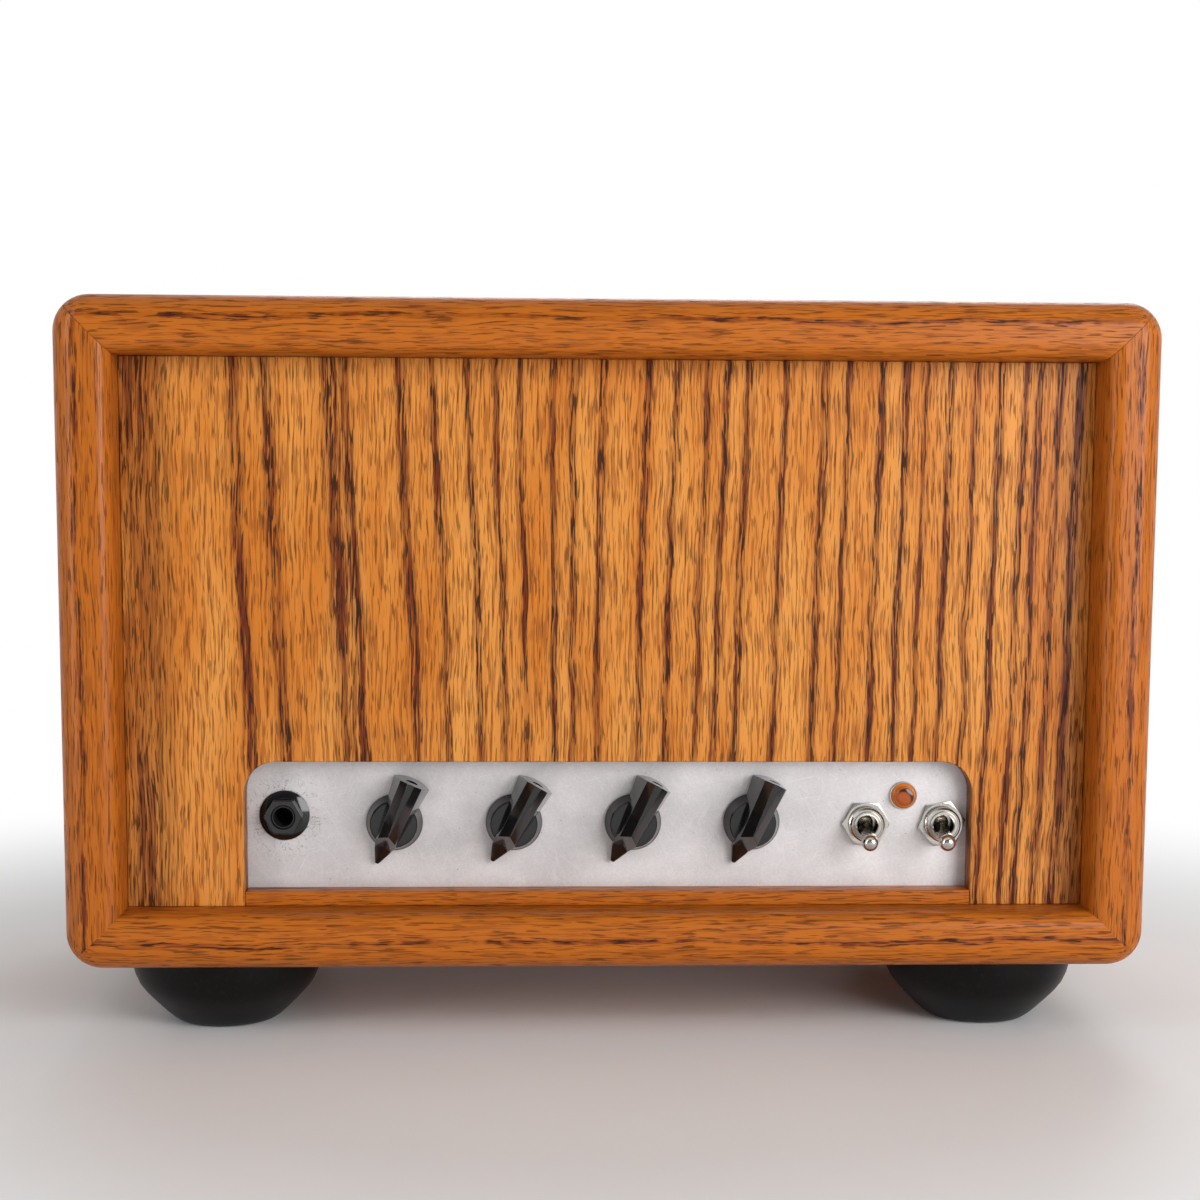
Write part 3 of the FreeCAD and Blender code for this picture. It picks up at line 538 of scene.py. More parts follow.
def member_bands(middle):
    """A broken dark line along the middle of a front member, and late wood behind it."""
    def bands(shader, line, along, deep, rag):
        wander = (shader.noise(along * 0.016, 0.0, 0.0, detail=2, seed=middle) - 0.5) * 5
        away = abs(line - middle + wander + rag * 3.0)
        dashes = shader.noise(along * 0.045, 0.0, 0.0, detail=3, roughness=0.7, seed=middle + 2)
        broken = shader.step(dashes, 0.42, 0.54)
        front = 1 - shader.step(deep, case_low.y + 12, case_low.y + 20)
        mark = (1 - shader.step(away, 0.35, 1.25)) * (0.25 + broken * 0.75) * front
        return shader.math("MAXIMUM", mark, plain_bands(shader, line, along, deep, rag) * (1 - front * 0.85))
    return bands


# Dark bands of the front panel: millimetres across at the panel's head, and half the width of each
panel_band_places = [
    (-125.8, 1.9), (-114.8, 2.1), (-93.6, 2.9), (-88.6, 2.0), (-70.4, 1.8), (-59.5, 1.2), (-47.7, 1.3),
    (-38.6, 1.2), (-30.3, 1.1), (-19.4, 1.3), (-12.3, 1.2), (-2.8, 1.4), (12.4, 1.3), (22.0, 1.2),
    (32.3, 1.2), (38.6, 1.1), (45.8, 1.4), (58.4, 1.2), (71.7, 1.4), (79.6, 1.2), (90.8, 1.3),
    (99.1, 1.4), (105.8, 1.0), (114.0, 1.3), (122.3, 1.1), (130.6, 1.3), (138.9, 1.2), (143.8, 1.5),
    (150.5, 1.4), (157.1, 1.7)]

# Dark patches at the panel's side edges, partly stains in the wood and partly painted shade next to the
# frame's side members: middle, half width, where each begins and ends up the panel, and depth
panel_stains_and_edge_shade = [
    (-157.5, 6.4, 180.0, 275.0, 0.85), (-155.0, 4.0, 10.0, 112.0, 0.85),
    (-157.0, 11.0, 30.0, 275.0, 0.45), (158.0, 6.0, 10.0, 130.0, 0.5)]


def panel_bands_and_wall_shade(shader, line, along, deep, rag):
    """Long bands up the panel, spread apart towards its foot, and painted shade on the window's cut wall."""
    z_head, z_measured = 228.5, 140.0
    drop = (z_head - along) / (z_head - z_measured)
    spread = shader.step(line, -61.0, 18.0, 4.1, -2.4)
    settled = line - spread * drop + rag * 1.7
    nearest = None
    for centre, half in panel_band_places:
        away = abs(settled - centre) / half
        nearest = away if nearest is None else shader.math("MINIMUM", nearest, away)
    strength = shader.step(shader.noise(settled * 0.11, 0.0, along * 0.022, detail=2, seed=51.0), 0.30, 0.62)
    core = 1 - shader.step(nearest, 0.45, 1.25)
    veil = 1 - shader.step(nearest, 0.9, 2.4)
    y_panel = node_box("front_panel")[0].y
    # Painted shade: the window's cut wall behind the panel's front is painted dark
    cut_wall_shade = shader.step(deep, y_panel + 0.5, y_panel + 1.2)
    return shader.math("MAXIMUM", core * (0.45 + strength * 0.55) + veil * 0.16, cut_wall_shade * 0.9)


def aluminium():
    """Handled sheet: fine crossed scratches, cloudy wear and hairlines round the input jack."""
    shader = Shader(bpy.data.materials.new("aluminium sheet"))
    x, y, z = shader.place()
    marks = None
    for angle, width, seed in ((12, 3.2, 1), (-38, 4.5, 2), (64, 3.6, 3), (97, 5.0, 4), (-62, 4.0, 5)):
        a = radians(angle)
        run, side = x * cos(a) + z * sin(a), z * cos(a) - x * sin(a)
        scratch = shader.noise(side * width, y, run * 0.10, detail=2, roughness=0.7, seed=seed)
        scratch = shader.step(scratch, 0.56, 0.74)
        marks = scratch if marks is None else shader.math("MAXIMUM", marks, scratch)
    rolled = shader.noise(x * 1.2, y * 0.1, z * 1.6, detail=3, roughness=0.7, seed=9)
    cloud = shader.noise(x * 0.05, y * 0.03, z * 0.06, detail=3, seed=12)
    jack = node_centre("input_jack_nut")
    near = 1 - shader.step(shader.distance(x, z, (jack.x, jack.z)), 8.0, 19.0)
    near = near * (1 - shader.step(y, y_face + 3, y_face + 6))
    hair = abs(shader.noise(x * 0.22, y * 0.2, z * 0.22, detail=3, roughness=0.6, seed=21) - 0.5)
    hairs = (1 - shader.step(hair, 0.002, 0.009)) * near
    specks = shader.step(shader.noise(x * 0.9, y, z * 0.9, detail=2, seed=30), 0.70, 0.76)
    tone = shader.blend(shader.step(cloud, 0.35, 0.7), (0.59, 0.565, 0.57), (0.72, 0.69, 0.695))
    tone = shader.blend(marks * 0.5, tone, (0.88, 0.87, 0.88))
    tone = shader.blend(shader.step(rolled, 0.35, 0.65) * 0.22, tone, (0.44, 0.42, 0.43))
    tone = shader.blend(shader.math("MAXIMUM", hairs * 0.75, specks * 0.6), tone, (0.12, 0.11, 0.11))
    return shader.surface(base_color=tone, metallic=0.35, roughness=0.42 + rolled * 0.10 - marks * 0.08,
                          normal=shader.bump(marks * 0.6 + rolled * 0.4, 0.02, 0.5))


def plated(name, tint, roughness, wear):
    """Plated metal with a faint grain and duller patches."""
    shader = Shader(bpy.data.materials.new(name))
    x, y, z = shader.place()
    grain = shader.noise(x * 3, y * 3, z * 3, detail=3, seed=2)
    dull = shader.step(shader.noise(x * 0.35, y * 0.35, z * 0.35, detail=3, seed=5), 0.45, 0.75)
    tone = shader.blend(dull * wear, tint, [level * 0.62 for level in tint])
    return shader.surface(base_color=tone, metallic=1.0,
                          roughness=roughness + dull * wear * 0.25 + grain * 0.04,
                          normal=shader.bump(grain, 0.01, 0.3))


def moulded(name, tint, roughness, coat=0.0, texture=0.01, shine=0.5):
    """Moulded or painted surface with a fine skin and slight dust."""
    shader = Shader(bpy.data.materials.new(name))
    x, y, z = shader.place()
    skin = shader.noise(x * 2.2, y * 2.2, z * 2.2, detail=3, seed=4)
    dust = shader.step(shader.noise(x * 0.5, y * 0.5, z * 0.5, detail=4, roughness=0.65, seed=8), 0.52, 0.78)
    lifted = [level + (1 - level) * 0.06 for level in tint]
    tone = shader.blend(dust * 0.16, tint, lifted)
    return shader.surface(base_color=tone, roughness=roughness + dust * 0.08 + skin * 0.04,
                          coat_weight=coat, coat_roughness=0.06, specular_ior_level=shine,
                          normal=shader.bump(skin, texture, 0.4))


def layered(name, tint, gap_tint, axis, pitch):
    """Stack of thin sheets seen on their edges."""
    shader = Shader(bpy.data.materials.new(name))
    place = shader.place()
    ply = shader.math("PINGPONG", place[axis], pitch / 2) / (pitch / 2)
    grime = shader.noise(place[0] * 0.4, place[1] * 0.4, place[2] * 0.4, detail=3, seed=6)
    gap = 1 - shader.step(ply, 0.05, 0.35)
    tone = shader.blend(gap * 0.8, shader.blend(grime, tint, [level * 0.6 for level in tint]), gap_tint)
    return shader.surface(base_color=tone, metallic=0.6, roughness=0.45 + gap * 0.2,
                          normal=shader.bump(1 - gap, 0.08, 0.6))


def amber():
    shader = Shader(bpy.data.materials.new("amber lens"))
    x, y, z = shader.place()
    centre = node_centre("pilot_lens")
    out = shader.distance(x, z, (centre.x, centre.z))
    cloud = shader.noise(x * 0.7, y * 0.7, z * 0.7, detail=2, seed=3)
    face = 1 - shader.step(out, 2.6, 3.5)
    # Painted light and shade: a lighter disc set towards the lower left inside the dark centre, which leaves
    # a dark crescent at the upper right
    painted_light_disc = 1 - shader.step(shader.distance(x, z, (centre.x - 0.9, centre.z - 1.0)), 2.5, 3.1)
    rings = shader.math("PINGPONG", out, 0.55) / 0.55
    tone = shader.blend(face, (0.66, 0.185, 0.030), (0.050, 0.009, 0.002))
    tone = shader.blend(face * painted_light_disc * (0.75 + rings * 0.15), tone, (0.40, 0.072, 0.002))
    return shader.surface(base_color=tone, roughness=0.10 + cloud * 0.05, coat_weight=0.3,
                          coat_roughness=0.03, specular_ior_level=0.35,
                          normal=shader.bump(cloud, 0.05, 0.3))


def glass():
    shader = Shader(bpy.data.materials.new("clear glass"))
    x, y, z = shader.place()
    wave = shader.noise(x * 0.08, y * 0.08, z * 0.05, detail=1, seed=3)
    haze = shader.step(z, z_deck + 66, z_deck + 78)
    return shader.surface(base_color=shader.blend(haze * 0.8, (0.93, 0.96, 0.96), (0.30, 0.30, 0.31)),
                          roughness=0.02 + haze * 0.10, transmission_weight=1.0, ior=1.45,
                          normal=shader.bump(wave, 0.2, 0.3))


def finishes():
    """Every material, by the record's slot."""
    wood = settings("amplifier_oak")
    return {
        "oak_blocks": oak("bare oak", UPRIGHT, wood.warm, 61.0, plain_bands),
        "aluminium_sheet": aluminium(),
        "nickel": plated("bright nickel", (0.55, 0.52, 0.48), 0.12, 0.35),
        "steel": plated("zinc plated steel", (0.58, 0.57, 0.55), 0.28, 0.5),
        "gloss_black": moulded("gloss black", (0.008, 0.0075, 0.0075), 0.09, texture=0.004),
        "matte_black": moulded("satin black", (0.022, 0.022, 0.022), 0.38, texture=0.02),
        "rubber": moulded("black rubber", (0.0035, 0.0030, 0.0028), 0.34, texture=0.03, shine=0.16),
        "amber_lens": amber(),
        "clear_glass": glass(),
        "ceramic": moulded("glazed ceramic", (0.76, 0.73, 0.66), 0.25, coat=0.3, texture=0.02),
        "plate_grey": moulded("carbonised plate", (0.06, 0.06, 0.065), 0.55, texture=0.03),
        "lamination": layered("varnished laminations", (0.20, 0.18, 0.17), (0.03, 0.025, 0.02), DEEP, 0.9),
        "transformer_black": moulded("satin enamel", (0.018, 0.018, 0.019), 0.32, coat=0.3, texture=0.03),
        "winding_wrap": layered("varnished paper", (0.55, 0.38, 0.17), (0.30, 0.18, 0.07), UPRIGHT, 6.0),
        "phenolic": moulded("laminate board", (0.20, 0.09, 0.035), 0.42, texture=0.02),
        "capacitor_sleeve": moulded("blue sleeve", (0.03, 0.09, 0.30), 0.25, coat=0.2),
        "film_amber": moulded("dipped film", (0.58, 0.25, 0.03), 0.18, coat=0.4, texture=0.04),
        "resistor_body": moulded("lacquered resistor", (0.42, 0.27, 0.14), 0.35, coat=0.1, texture=0.03),
    }


def finish(slot):
    return next(made for made in bpy.data.materials if made.get("finish_slot") == slot)


# Operators

class AmplifierStep(bpy.types.Operator):
    """Runs its make function and finishes"""
    bl_options = {"REGISTER", "UNDO"}

    def execute(self, context):
        self.make(context)
        return {"FINISHED"}


class AMPLIFIER_OT_finishes(AmplifierStep):
    """Make the finishes and give them to the parts that keep their own shape"""
    bl_idname = "amplifier.finishes"
    bl_label = "Finishes"

    def make(self, context):
        made = finishes()
        for slot, material in made.items():
            material["finish_slot"] = slot
        for part in frame["record"]["subparts"]:
            node = frame["nodes"][part["node"]]
            node.data.materials.clear()
            node.data.materials.append(made.get(part["material_slot"], made["oak_blocks"]))


def case_shape(cabinet):
    """Whole case as one solid, round at its corners and front, bevelled behind."""
    shape = block(case_low, case_high)
    uprights = [edge for edge in shape.edges if abs((edge.verts[0].co - edge.verts[1].co).y) > 1]
    round_edges(shape, uprights, mm(cabinet.corner_radius), 10)
    for y, width, segments in ((case_low.y, mm(cabinet.outer_roundover), 8),
                               (case_high.y, mm(cabinet.rear_bevel), 2)):
        around = [edge for edge in shape.edges if all(abs(vert.co.y - y) < 1e-3 for vert in edge.verts)]
        round_edges(shape, around, width, segments)
    return shape


def board_shape(cabinet, inner_face, mitres):
    """One board of the case: the solid cut along its inner face and its two mitres."""
    shape = case_shape(cabinet)
    for point, normal in [inner_face] + mitres:
        carve(shape, point, normal)
    point, normal = Vector(inner_face[0]), Vector(inner_face[1])
    inner = [edge for edge in shape.edges
             if all(abs((vert.co - point).dot(normal)) < 1e-3 and abs(vert.co.y - case_low.y) < 1e-3
                    for vert in edge.verts)]
    round_edges(shape, inner, mm(cabinet.inner_roundover), 8)
    soften(shape, mm(cabinet.joint_groove), 1, 40)
    return shape


class AMPLIFIER_OT_cabinet(AmplifierStep):
    """Make the four mitred oak boards of the case"""
    bl_idname = "amplifier.cabinet"
    bl_label = "Cabinet boards"

    def make(self, context):
        cabinet, wood = settings("amplifier_cabinet"), settings("amplifier_oak")
        left, right = case_low.x, case_high.x
        foot, head = case_low.z, case_high.z

        def mitres(side, *corners):
            """Cuts at corners, which keep the level boards with side 1 and the upright ones with side -1."""
            return [((x, 0, z), Vector((1 if x == right else -1, 0, -1 if z == head else 1)) * side)
                    for x, z in corners]

        boards = [
            ("oak_top", "cabinet_top", ACROSS, ((0, 0, z_ceiling), (0, 0, -1)),
             mitres(1, (left, head), (right, head)), 1.0, z_ceiling + 12.0),
            ("oak_bottom", "cabinet_bottom", ACROSS, ((0, 0, z_sill), (0, 0, 1)),
             mitres(1, (left, foot), (right, foot)), 23.0, z_sill - 9.5),
            ("oak_left_side", "cabinet_left_side", UPRIGHT, ((inner_left, 0, 0), (1, 0, 0)),
             mitres(-1, (left, head), (left, foot)), 41.0, inner_left - 11.5),
            ("oak_right_side", "cabinet_right_side", UPRIGHT, ((inner_right, 0, 0), (-1, 0, 0)),
             mitres(-1, (right, head), (right, foot)), 77.0, inner_right + 10.5)]
        for name, node, grain, inner_face, ends, seed, middle in boards:
            shape = board_shape(cabinet, inner_face, ends)
            wood_here = oak(name.replace("_", " "), grain, wood.frame, seed, member_bands(middle))
            piece(name, shape, "oak_frame", [node], material=wood_here)


class AMPLIFIER_OT_panel(AmplifierStep):
    """Make the front panel with its window, the strip below it, and the glued blocks and rail behind"""
    bl_idname = "amplifier.panel"
    bl_label = "Front panel"

    def make(self, context):
        cabinet, wood = settings("amplifier_cabinet"), settings("amplifier_oak")
        face = oak("panel oak", UPRIGHT, wood.warm, 9.0, panel_bands_and_wall_shade, wood.pale, panel_stains_and_edge_shade)
        rail_oak = oak("rail oak", ACROSS, wood.frame, 31.0, plain_bands)
        edge = mm(cabinet.panel_edge)
        for name, node, slot, material in (
                ("oak_panel", "front_panel", "oak_panel", face),
                ("oak_sill", "sill_strip", "oak_frame", rail_oak),
                ("oak_back_rail", "back_rail", "oak_frame", rail_oak),
                ("glue_blocks", "panel_cleats", "oak_blocks", None),
                ("rail_blocks", "rail_cleats", "oak_blocks", None)):
            shape = node_shape(node)
            soften(shape, edge, 2, 50)
            piece(name, shape, slot, [node], material=material)


def screw(head_radius, head_height, shank_radius, shank_length):
    """Cross-slotted screw: its head stands on z = 0 and its shank is below."""
    head = turned([(0, 0), (head_radius, 0), (head_radius, head_height * 0.35),
                   (head_radius * 0.86, head_height * 0.75), (head_radius * 0.5, head_height),
                   (0, head_height)], 32)
    slot_half, slot_depth = head_radius * 0.14, head_height * 0.6
    reach = head_radius * 0.62
    for half_x, half_y in ((reach, slot_half), (slot_half, reach)):
        head = cut_out(head, block((-half_x, -half_y, head_height - slot_depth),
                                   (half_x, half_y, head_height + 1)))
    shank = turned([(0, 0.1), (shank_radius, 0.1), (shank_radius, -shank_length + 2), (0, -shank_length)], 16)
    return gathered(head, shank)


class AMPLIFIER_OT_screws(AmplifierStep):
    """Make the cross-slotted screws of the rail, the inlet, the chassis and the feet"""
    bl_idname = "amplifier.screws"
    bl_label = "Screws"

    def make(self, context):
        rail_y = node_box("back_rail")[1].y
        inlet_y = node_box("mains_inlet")[1].y
        downward = Matrix.Rotation(pi, 4, "X")
        for name, node, seat, place, size in (
                ("rail_cross_screws", "rail_screws", rail_y, "back", (3.6, 2.2, 2.0, 18)),
                ("inlet_cross_screws", "inlet_screws", inlet_y, "back", (2.8, 1.6, 1.5, 9)),
                ("chassis_cross_screws", "chassis_screws", case_low.z, "below", (4.6, 3.0, 2.4, 27)),
                ("foot_cross_screws", "foot_screws", 2.8, "below", (3.8, 2.0, 2.0, 34))):
            shape = screw(*size)
            seats = []
            for x, y, z in node_islands(node):
                if place == "back":
                    seats.append(Matrix.Translation((x, seat, z)) @ Matrix.Rotation(radians(-90), 4, "X"))
                else:
                    seats.append(Matrix.Translation((x, y, seat)) @ downward)
            whole = gathered(*[(shape, place_of) for place_of in seats])
            piece(name, whole, "steel", [node])


class AMPLIFIER_OT_feet(AmplifierStep):
    """Make the bowl-shaped rubber feet and their washers"""
    bl_idname = "amplifier.feet"
    bl_label = "Feet"

    def make(self, context):
        profile = [(0, 4.0), (8.2, 4.0), (8.7, 3.4), (8.7, 0.6), (9.3, 0), (15.0, 0), (17.4, 0.5),
                   (19.4, 1.8), (22.0, 4.2), (25.2, 7.4), (28.2, 10.6), (30.4, 13.6), (31.9, 17.0),
                   (32.8, 20.6), (33.3, 24.0), (33.3, 25.5), (32.8, 25.95), (0, 25.95)]
        foot = turned(profile, 72)
        washer = turned([(2.4, 2.8), (8.0, 2.8), (8.0, 4.0), (2.4, 4.0), (2.4, 2.8)], 40)
        seats = [Matrix.Translation((x, y, 0)) for x, y, z in node_islands("rubber_feet")]
        piece("bowl_feet", gathered(*[(foot, seat) for seat in seats]), "rubber", ["rubber_feet"])
        piece("foot_cup_washers", gathered(*[(washer, seat) for seat in seats]), "steel", ["foot_washers"])


def grip_outline(knob):
    """Grip seen from the front: round at the tail and drawn in to a blunt beak."""
    reach, half, arc = mm(knob.tail_reach), mm(knob.tail_half), mm(knob.tail_arc)
    swing, facets = asin(half / arc), 10
    tail = [pi + swing * (2 * i / facets - 1) for i in range(facets + 1)]
    outline = [(arc - reach + arc * cos(a), arc * sin(a)) for a in tail]
    side = [(7.7, 3.4), (10.4, 2.7), (mm(knob.pointer_reach), 0.6)]
    return outline + [(x, -y) for x, y in side] + [(x, y) for x, y in reversed(side)]


def carve_both(shape, a, b, c):
    """Cut beyond a plane through three points, and beyond its mirror image."""
    a, b, c = Vector(a), Vector(b), Vector(c)
    normal = (b - a).cross(c - a)
    carve(shape, a, normal)
    carve(shape, Vector((a.x, -a.y, a.z)), Vector((normal.x, -normal.y, normal.z)))


def knob_shape(knob):
    """Sloping grip with a flat ridge, a low beak and a round skirt."""
    height, hub, edge = mm(knob.height), mm(knob.hub_height), mm(knob.edge)
    outline = grip_outline(knob)
    tail_x = outline[0][0]
    shoulder_tail, shoulder_middle = (-16.0, 3.9, 13.2), (1.3, 3.3, 12.6)
    ridge_tail, ridge_end = (-16.4, 1.2, height), (2.7, 0.1, height)
    nose_foot = (8.0, 0, 6.5)
    grip = prism(outline, 0, height)
    carve_both(grip, (tail_x, mm(knob.tail_half), 0), shoulder_tail, shoulder_middle)
    carve_both(grip, shoulder_tail, ridge_tail, ridge_end)
    nose = Vector(nose_foot) - Vector((ridge_end[0], 0, height))
    carve(grip, nose_foot, nose.cross(Vector((0, 1, 0))))
    soften(grip, edge, 3, 14)
    screw_hole = turned([(0, 0), (2.1, 0), (2.1, 14), (0, 14)], 32)
    sideways = Matrix.Translation((-18, 0, 10)) @ Matrix.Rotation(radians(90), 4, "Y")
    grip = cut_out(grip, gathered((screw_hole, sideways)))
    beak = prism(outline, 0, nose_foot[2])
    carve_both(beak, (nose_foot[0], 0.28, nose_foot[2]), (mm(knob.pointer_reach), 0.28, 2.0), (8.0, 3.3, 4.0))
    carve(beak, nose_foot, (2.52, 0, 4.03))
    carve(beak, (0, 0, 0), (-1, 0, 0))
    soften(beak, edge * 0.5, 2, 14)
    skirt_radius, hub_radius = mm(knob.skirt_radius), mm(knob.hub_radius)
    skirt = turned([(0, 0), (skirt_radius - 0.3, 0), (skirt_radius, 0.3), (skirt_radius - 0.2, 1.0),
                    (skirt_radius - 0.5, 1.4), (hub_radius + 0.3, hub - 0.4), (hub_radius, hub - 0.1),
                    (hub_radius - 0.4, hub), (0, hub)], 96)
    return gathered(grip, beak, skirt)


class AMPLIFIER_OT_knobs(AmplifierStep):
    """Make the four pointer knobs"""
    bl_idname = "amplifier.knobs"
    bl_label = "Knobs"

    def make(self, context):
        knob = settings("amplifier_knob")
        turns = (knob.first_turn, knob.second_turn, knob.third_turn, knob.fourth_turn)
        for number, turn_from_down in enumerate(turns, start=1):
            node = "pointer_knob_%d" % number
            axis = node_centre("potentiometer_shaft_%d" % number)
            place = facing_front(axis.x, axis.z, mm(knob.lift), pi + pi / 2 - turn_from_down)
            piece("grip_knob_%d" % number, gathered((knob_shape(knob), place)), "gloss_black", [node],
                  body_of(node), smooth=24)


def plain_nut(flats, height, bore):
    """Hexagon nut with a round chamfer at its front and a bore."""
    nut = prism(hexagon(flats), 0, height)
    corner = flats / sqrt(3)
    inside, outside, top, slope = flats / 2 - 0.1, corner + 1, height + 0.01, 0.42
    foot = height - (outside - flats / 2) * slope
    chamfer = turned([(inside, top), (outside, top), (outside, foot), (inside, top)], 64)
    nut = cut_out(nut, chamfer)
    return cut_out(nut, turned([(0, -1), (bore, -1), (bore, height + 1), (0, height + 1)], 64))


class AMPLIFIER_OT_jacks(AmplifierStep):
    """Make the gloss dress nut of the input jack and the plated nut of the speaker jack"""
    bl_idname = "amplifier.jacks"
    bl_label = "Jack nuts"

    def make(self, context):
        centre = node_centre("input_jack_nut")
        flange = turned([(4.7, 0), (8.4, 0), (8.55, 0.25), (8.5, 0.75), (6.4, 1.9), (4.7, 1.9), (4.7, 0)], 80)
        hexagonal = prism(hexagon(11.7), 0, 5.2)
        soften(hexagonal, 0.45, 3, 40)
        mouth = turned([(0, -1), (3.9, -1), (3.9, 3.0), (4.3, 6), (0, 6)], 64)
        lip = turned([(3.25, -2), (4.0, -2), (4.0, 4.3), (3.7, 4.75), (3.4, 4.75), (3.25, 4.5),
                      (3.25, -2)], 64)
        nut = gathered(flange, cut_out(hexagonal, mouth), lip)
        piece("jack_dress_nut", gathered((nut, facing_front(centre.x, centre.z))), "gloss_black",
              ["input_jack_nut"])
        centre = node_centre("speaker_jack_nut")
        nut = plain_nut(12.7, 2.6, 4.75)
        piece("speaker_nut", gathered((nut, facing_back(centre.x, centre.z))), "nickel", ["speaker_jack_nut"])


class AMPLIFIER_OT_switches(AmplifierStep):
    """Make the two toggle switches: bushings, nuts and bat levers"""
    bl_idname = "amplifier.switches"
    bl_label = "Toggle switches"

    def make(self, context):
        switch = settings("amplifier_switches")
        radius, rise = mm(switch.bushing_radius), mm(switch.bushing_rise)
        places = sorted(node_islands("toggle_nuts"), key=lambda spot: spot.x)
        threads, crests = [], 6
        thread_foot, pitch = 2.2, (rise - 3.0) / crests
        for i in range(crests):
            low = thread_foot + i * pitch
            threads += [(radius, low), (radius - 0.3, low + pitch / 2)]
        bushing = turned([(3.3, -1.6), (radius, -1.6)] + threads
                         + [(radius, rise - 0.75), (radius - 0.55, rise - 0.2), (radius - 0.85, rise - 0.2),
                            (radius - 1.0, rise - 0.45), (radius - 1.2, rise - 0.45),
                            (radius - 1.35, rise), (3.9, rise), (3.6, rise - 0.3), (3.52, rise - 1.2),
                            (3.4, rise - 3), (3.3, -1.6)], 72)
        body = block((-6.2, -11.5, -19.6), (6.2, 11.5, -1.6))
        soften(body, 0.6, 2)
        lugs = [block((-2.4, y - 0.4, -25.6), (2.4, y + 0.4, -19.6)) for y in (-7, 7)]
        bodies = gathered(*[(part, facing_front(spot.x, spot.z, 0, -switch.twist))
                            for spot in places for part in [bushing, body] + lugs])
        piece("switch_bodies", bodies, "nickel", ["toggle_switches"])
        nut = plain_nut(mm(switch.nut_flats), mm(switch.nut_height), radius + 0.02)
        nuts = gathered(*[(nut, facing_front(spot.x, spot.z, 0, radians(turn_of)))
                          for spot, turn_of in zip(places, (0.0, 10.0))])
        piece("switch_nuts", nuts, "nickel", ["toggle_nuts"])
        lever = turned([(0, -2.6), (1.3, -2.4), (2.4, -1.6), (2.9, -0.4), (2.9, 0.4), (2.2, 1.6),
                        (1.5, 2.5), (1.5, 3.0), (1.98, 3.6), (2.28, 4.3), (2.38, 5.0), (2.28, 5.7),
                        (2.0, 6.4), (1.85, 6.8), (1.88, 8.0), (2.05, 10.5), (2.3, 13.5), (2.6, 16.2),
                        (2.82, 18.0), (2.85, 18.9), (2.75, 19.8), (2.35, 20.8), (1.6, 21.5),
                        (0.8, 21.75), (0, 21.8)], 48)
        tip = Matrix.Translation((0, 0, -mm(switch.pivot_depth))) @ Matrix.Rotation(switch.tilt, 4, "X")
        for number, spot in enumerate(places, start=1):
            node = "toggle_lever_%d" % number
            place = facing_front(spot.x, spot.z, 0, -switch.twist) @ tip
            piece("bat_lever_%d" % number, gathered((lever, place)), "nickel", [node], body_of(node),
                  smooth=60)


class AMPLIFIER_OT_pilot(AmplifierStep):
    """Make the pilot light's ring and its amber lens"""
    bl_idname = "amplifier.pilot"
    bl_label = "Pilot light"

    def make(self, context):
        centre = node_centre("pilot_bezel")
        place = facing_front(centre.x, centre.z)
        ring = turned([(2.85, -9), (3.1, -9), (3.1, 0), (4.75, 0), (4.85, 0.15), (4.82, 0.8), (4.6, 1.15),
                       (4.4, 1.15), (4.32, 0.9), (4.32, 0.35), (2.85, 0.35), (2.85, -9)], 64)
        lens = turned([(0, -7.8), (2.8, -7.8), (2.8, 0.4), (4.25, 0.4), (4.3, 0.9), (4.1, 1.25), (3.75, 1.4),
                       (3.45, 1.9), (3.35, 3.4), (3.2, 4.0), (2.8, 4.35), (1.6, 4.45), (0, 4.48)], 64)
        piece("pilot_ring", gathered((ring, place)), "nickel", ["pilot_bezel"])
        piece("pilot_window", gathered((lens, place)), "amber_lens", ["pilot_lens"], smooth=50)


class AMPLIFIER_OT_valves(AmplifierStep):
    """Make the valves' bulbs, bases and sockets"""
    bl_idname = "amplifier.valves"
    bl_label = "Valves"

    def make(self, context):
        spots = sorted(node_islands("valve_sockets"), key=lambda spot: spot.x)
        rise = 3.0
        bulbs, sockets = [], []
        # Bulb radius and height, height of the base, and radius of the socket
        preamp, power = (11.0, 50.0, 0.0, 10.5), (14.5, 62.0, 16.0, 15.5)
        for spot, (radius, tall, base, collar) in zip(spots, (preamp, preamp, power, power)):
            seat = Matrix.Translation((spot.x, spot.y, z_deck + rise + base))
            bulbs.append((bulb_shape(radius, tall), seat))
            socket = turned([(2.6, -9), (collar, -9), (collar, 0), (collar + 2.8, 0), (collar + 2.9, 0.4),
                             (collar + 2.9, 2.2), (collar + 2.2, rise), (2.6, rise), (2.6, -9)], 64)
            sockets.append((socket, Matrix.Translation((spot.x, spot.y, z_deck))))
        piece("valve_bulbs", gathered(*bulbs), "clear_glass", ["valve_glass"], smooth=60)
        piece("socket_bodies", gathered(*sockets), "ceramic", ["valve_sockets"])
        collar = turned([(0, 0), (13.2, 0), (13.5, 0.3), (15.4, 4.2), (15.9, 5.2), (16.0, 15.4), (15.6, 16),
                         (0, 16)], 72)
        bases = [(collar, Matrix.Translation((spot.x, spot.y, z_deck + rise))) for spot in spots[2:]]
        piece("valve_collars", gathered(*bases), "matte_black", ["valve_bases"])


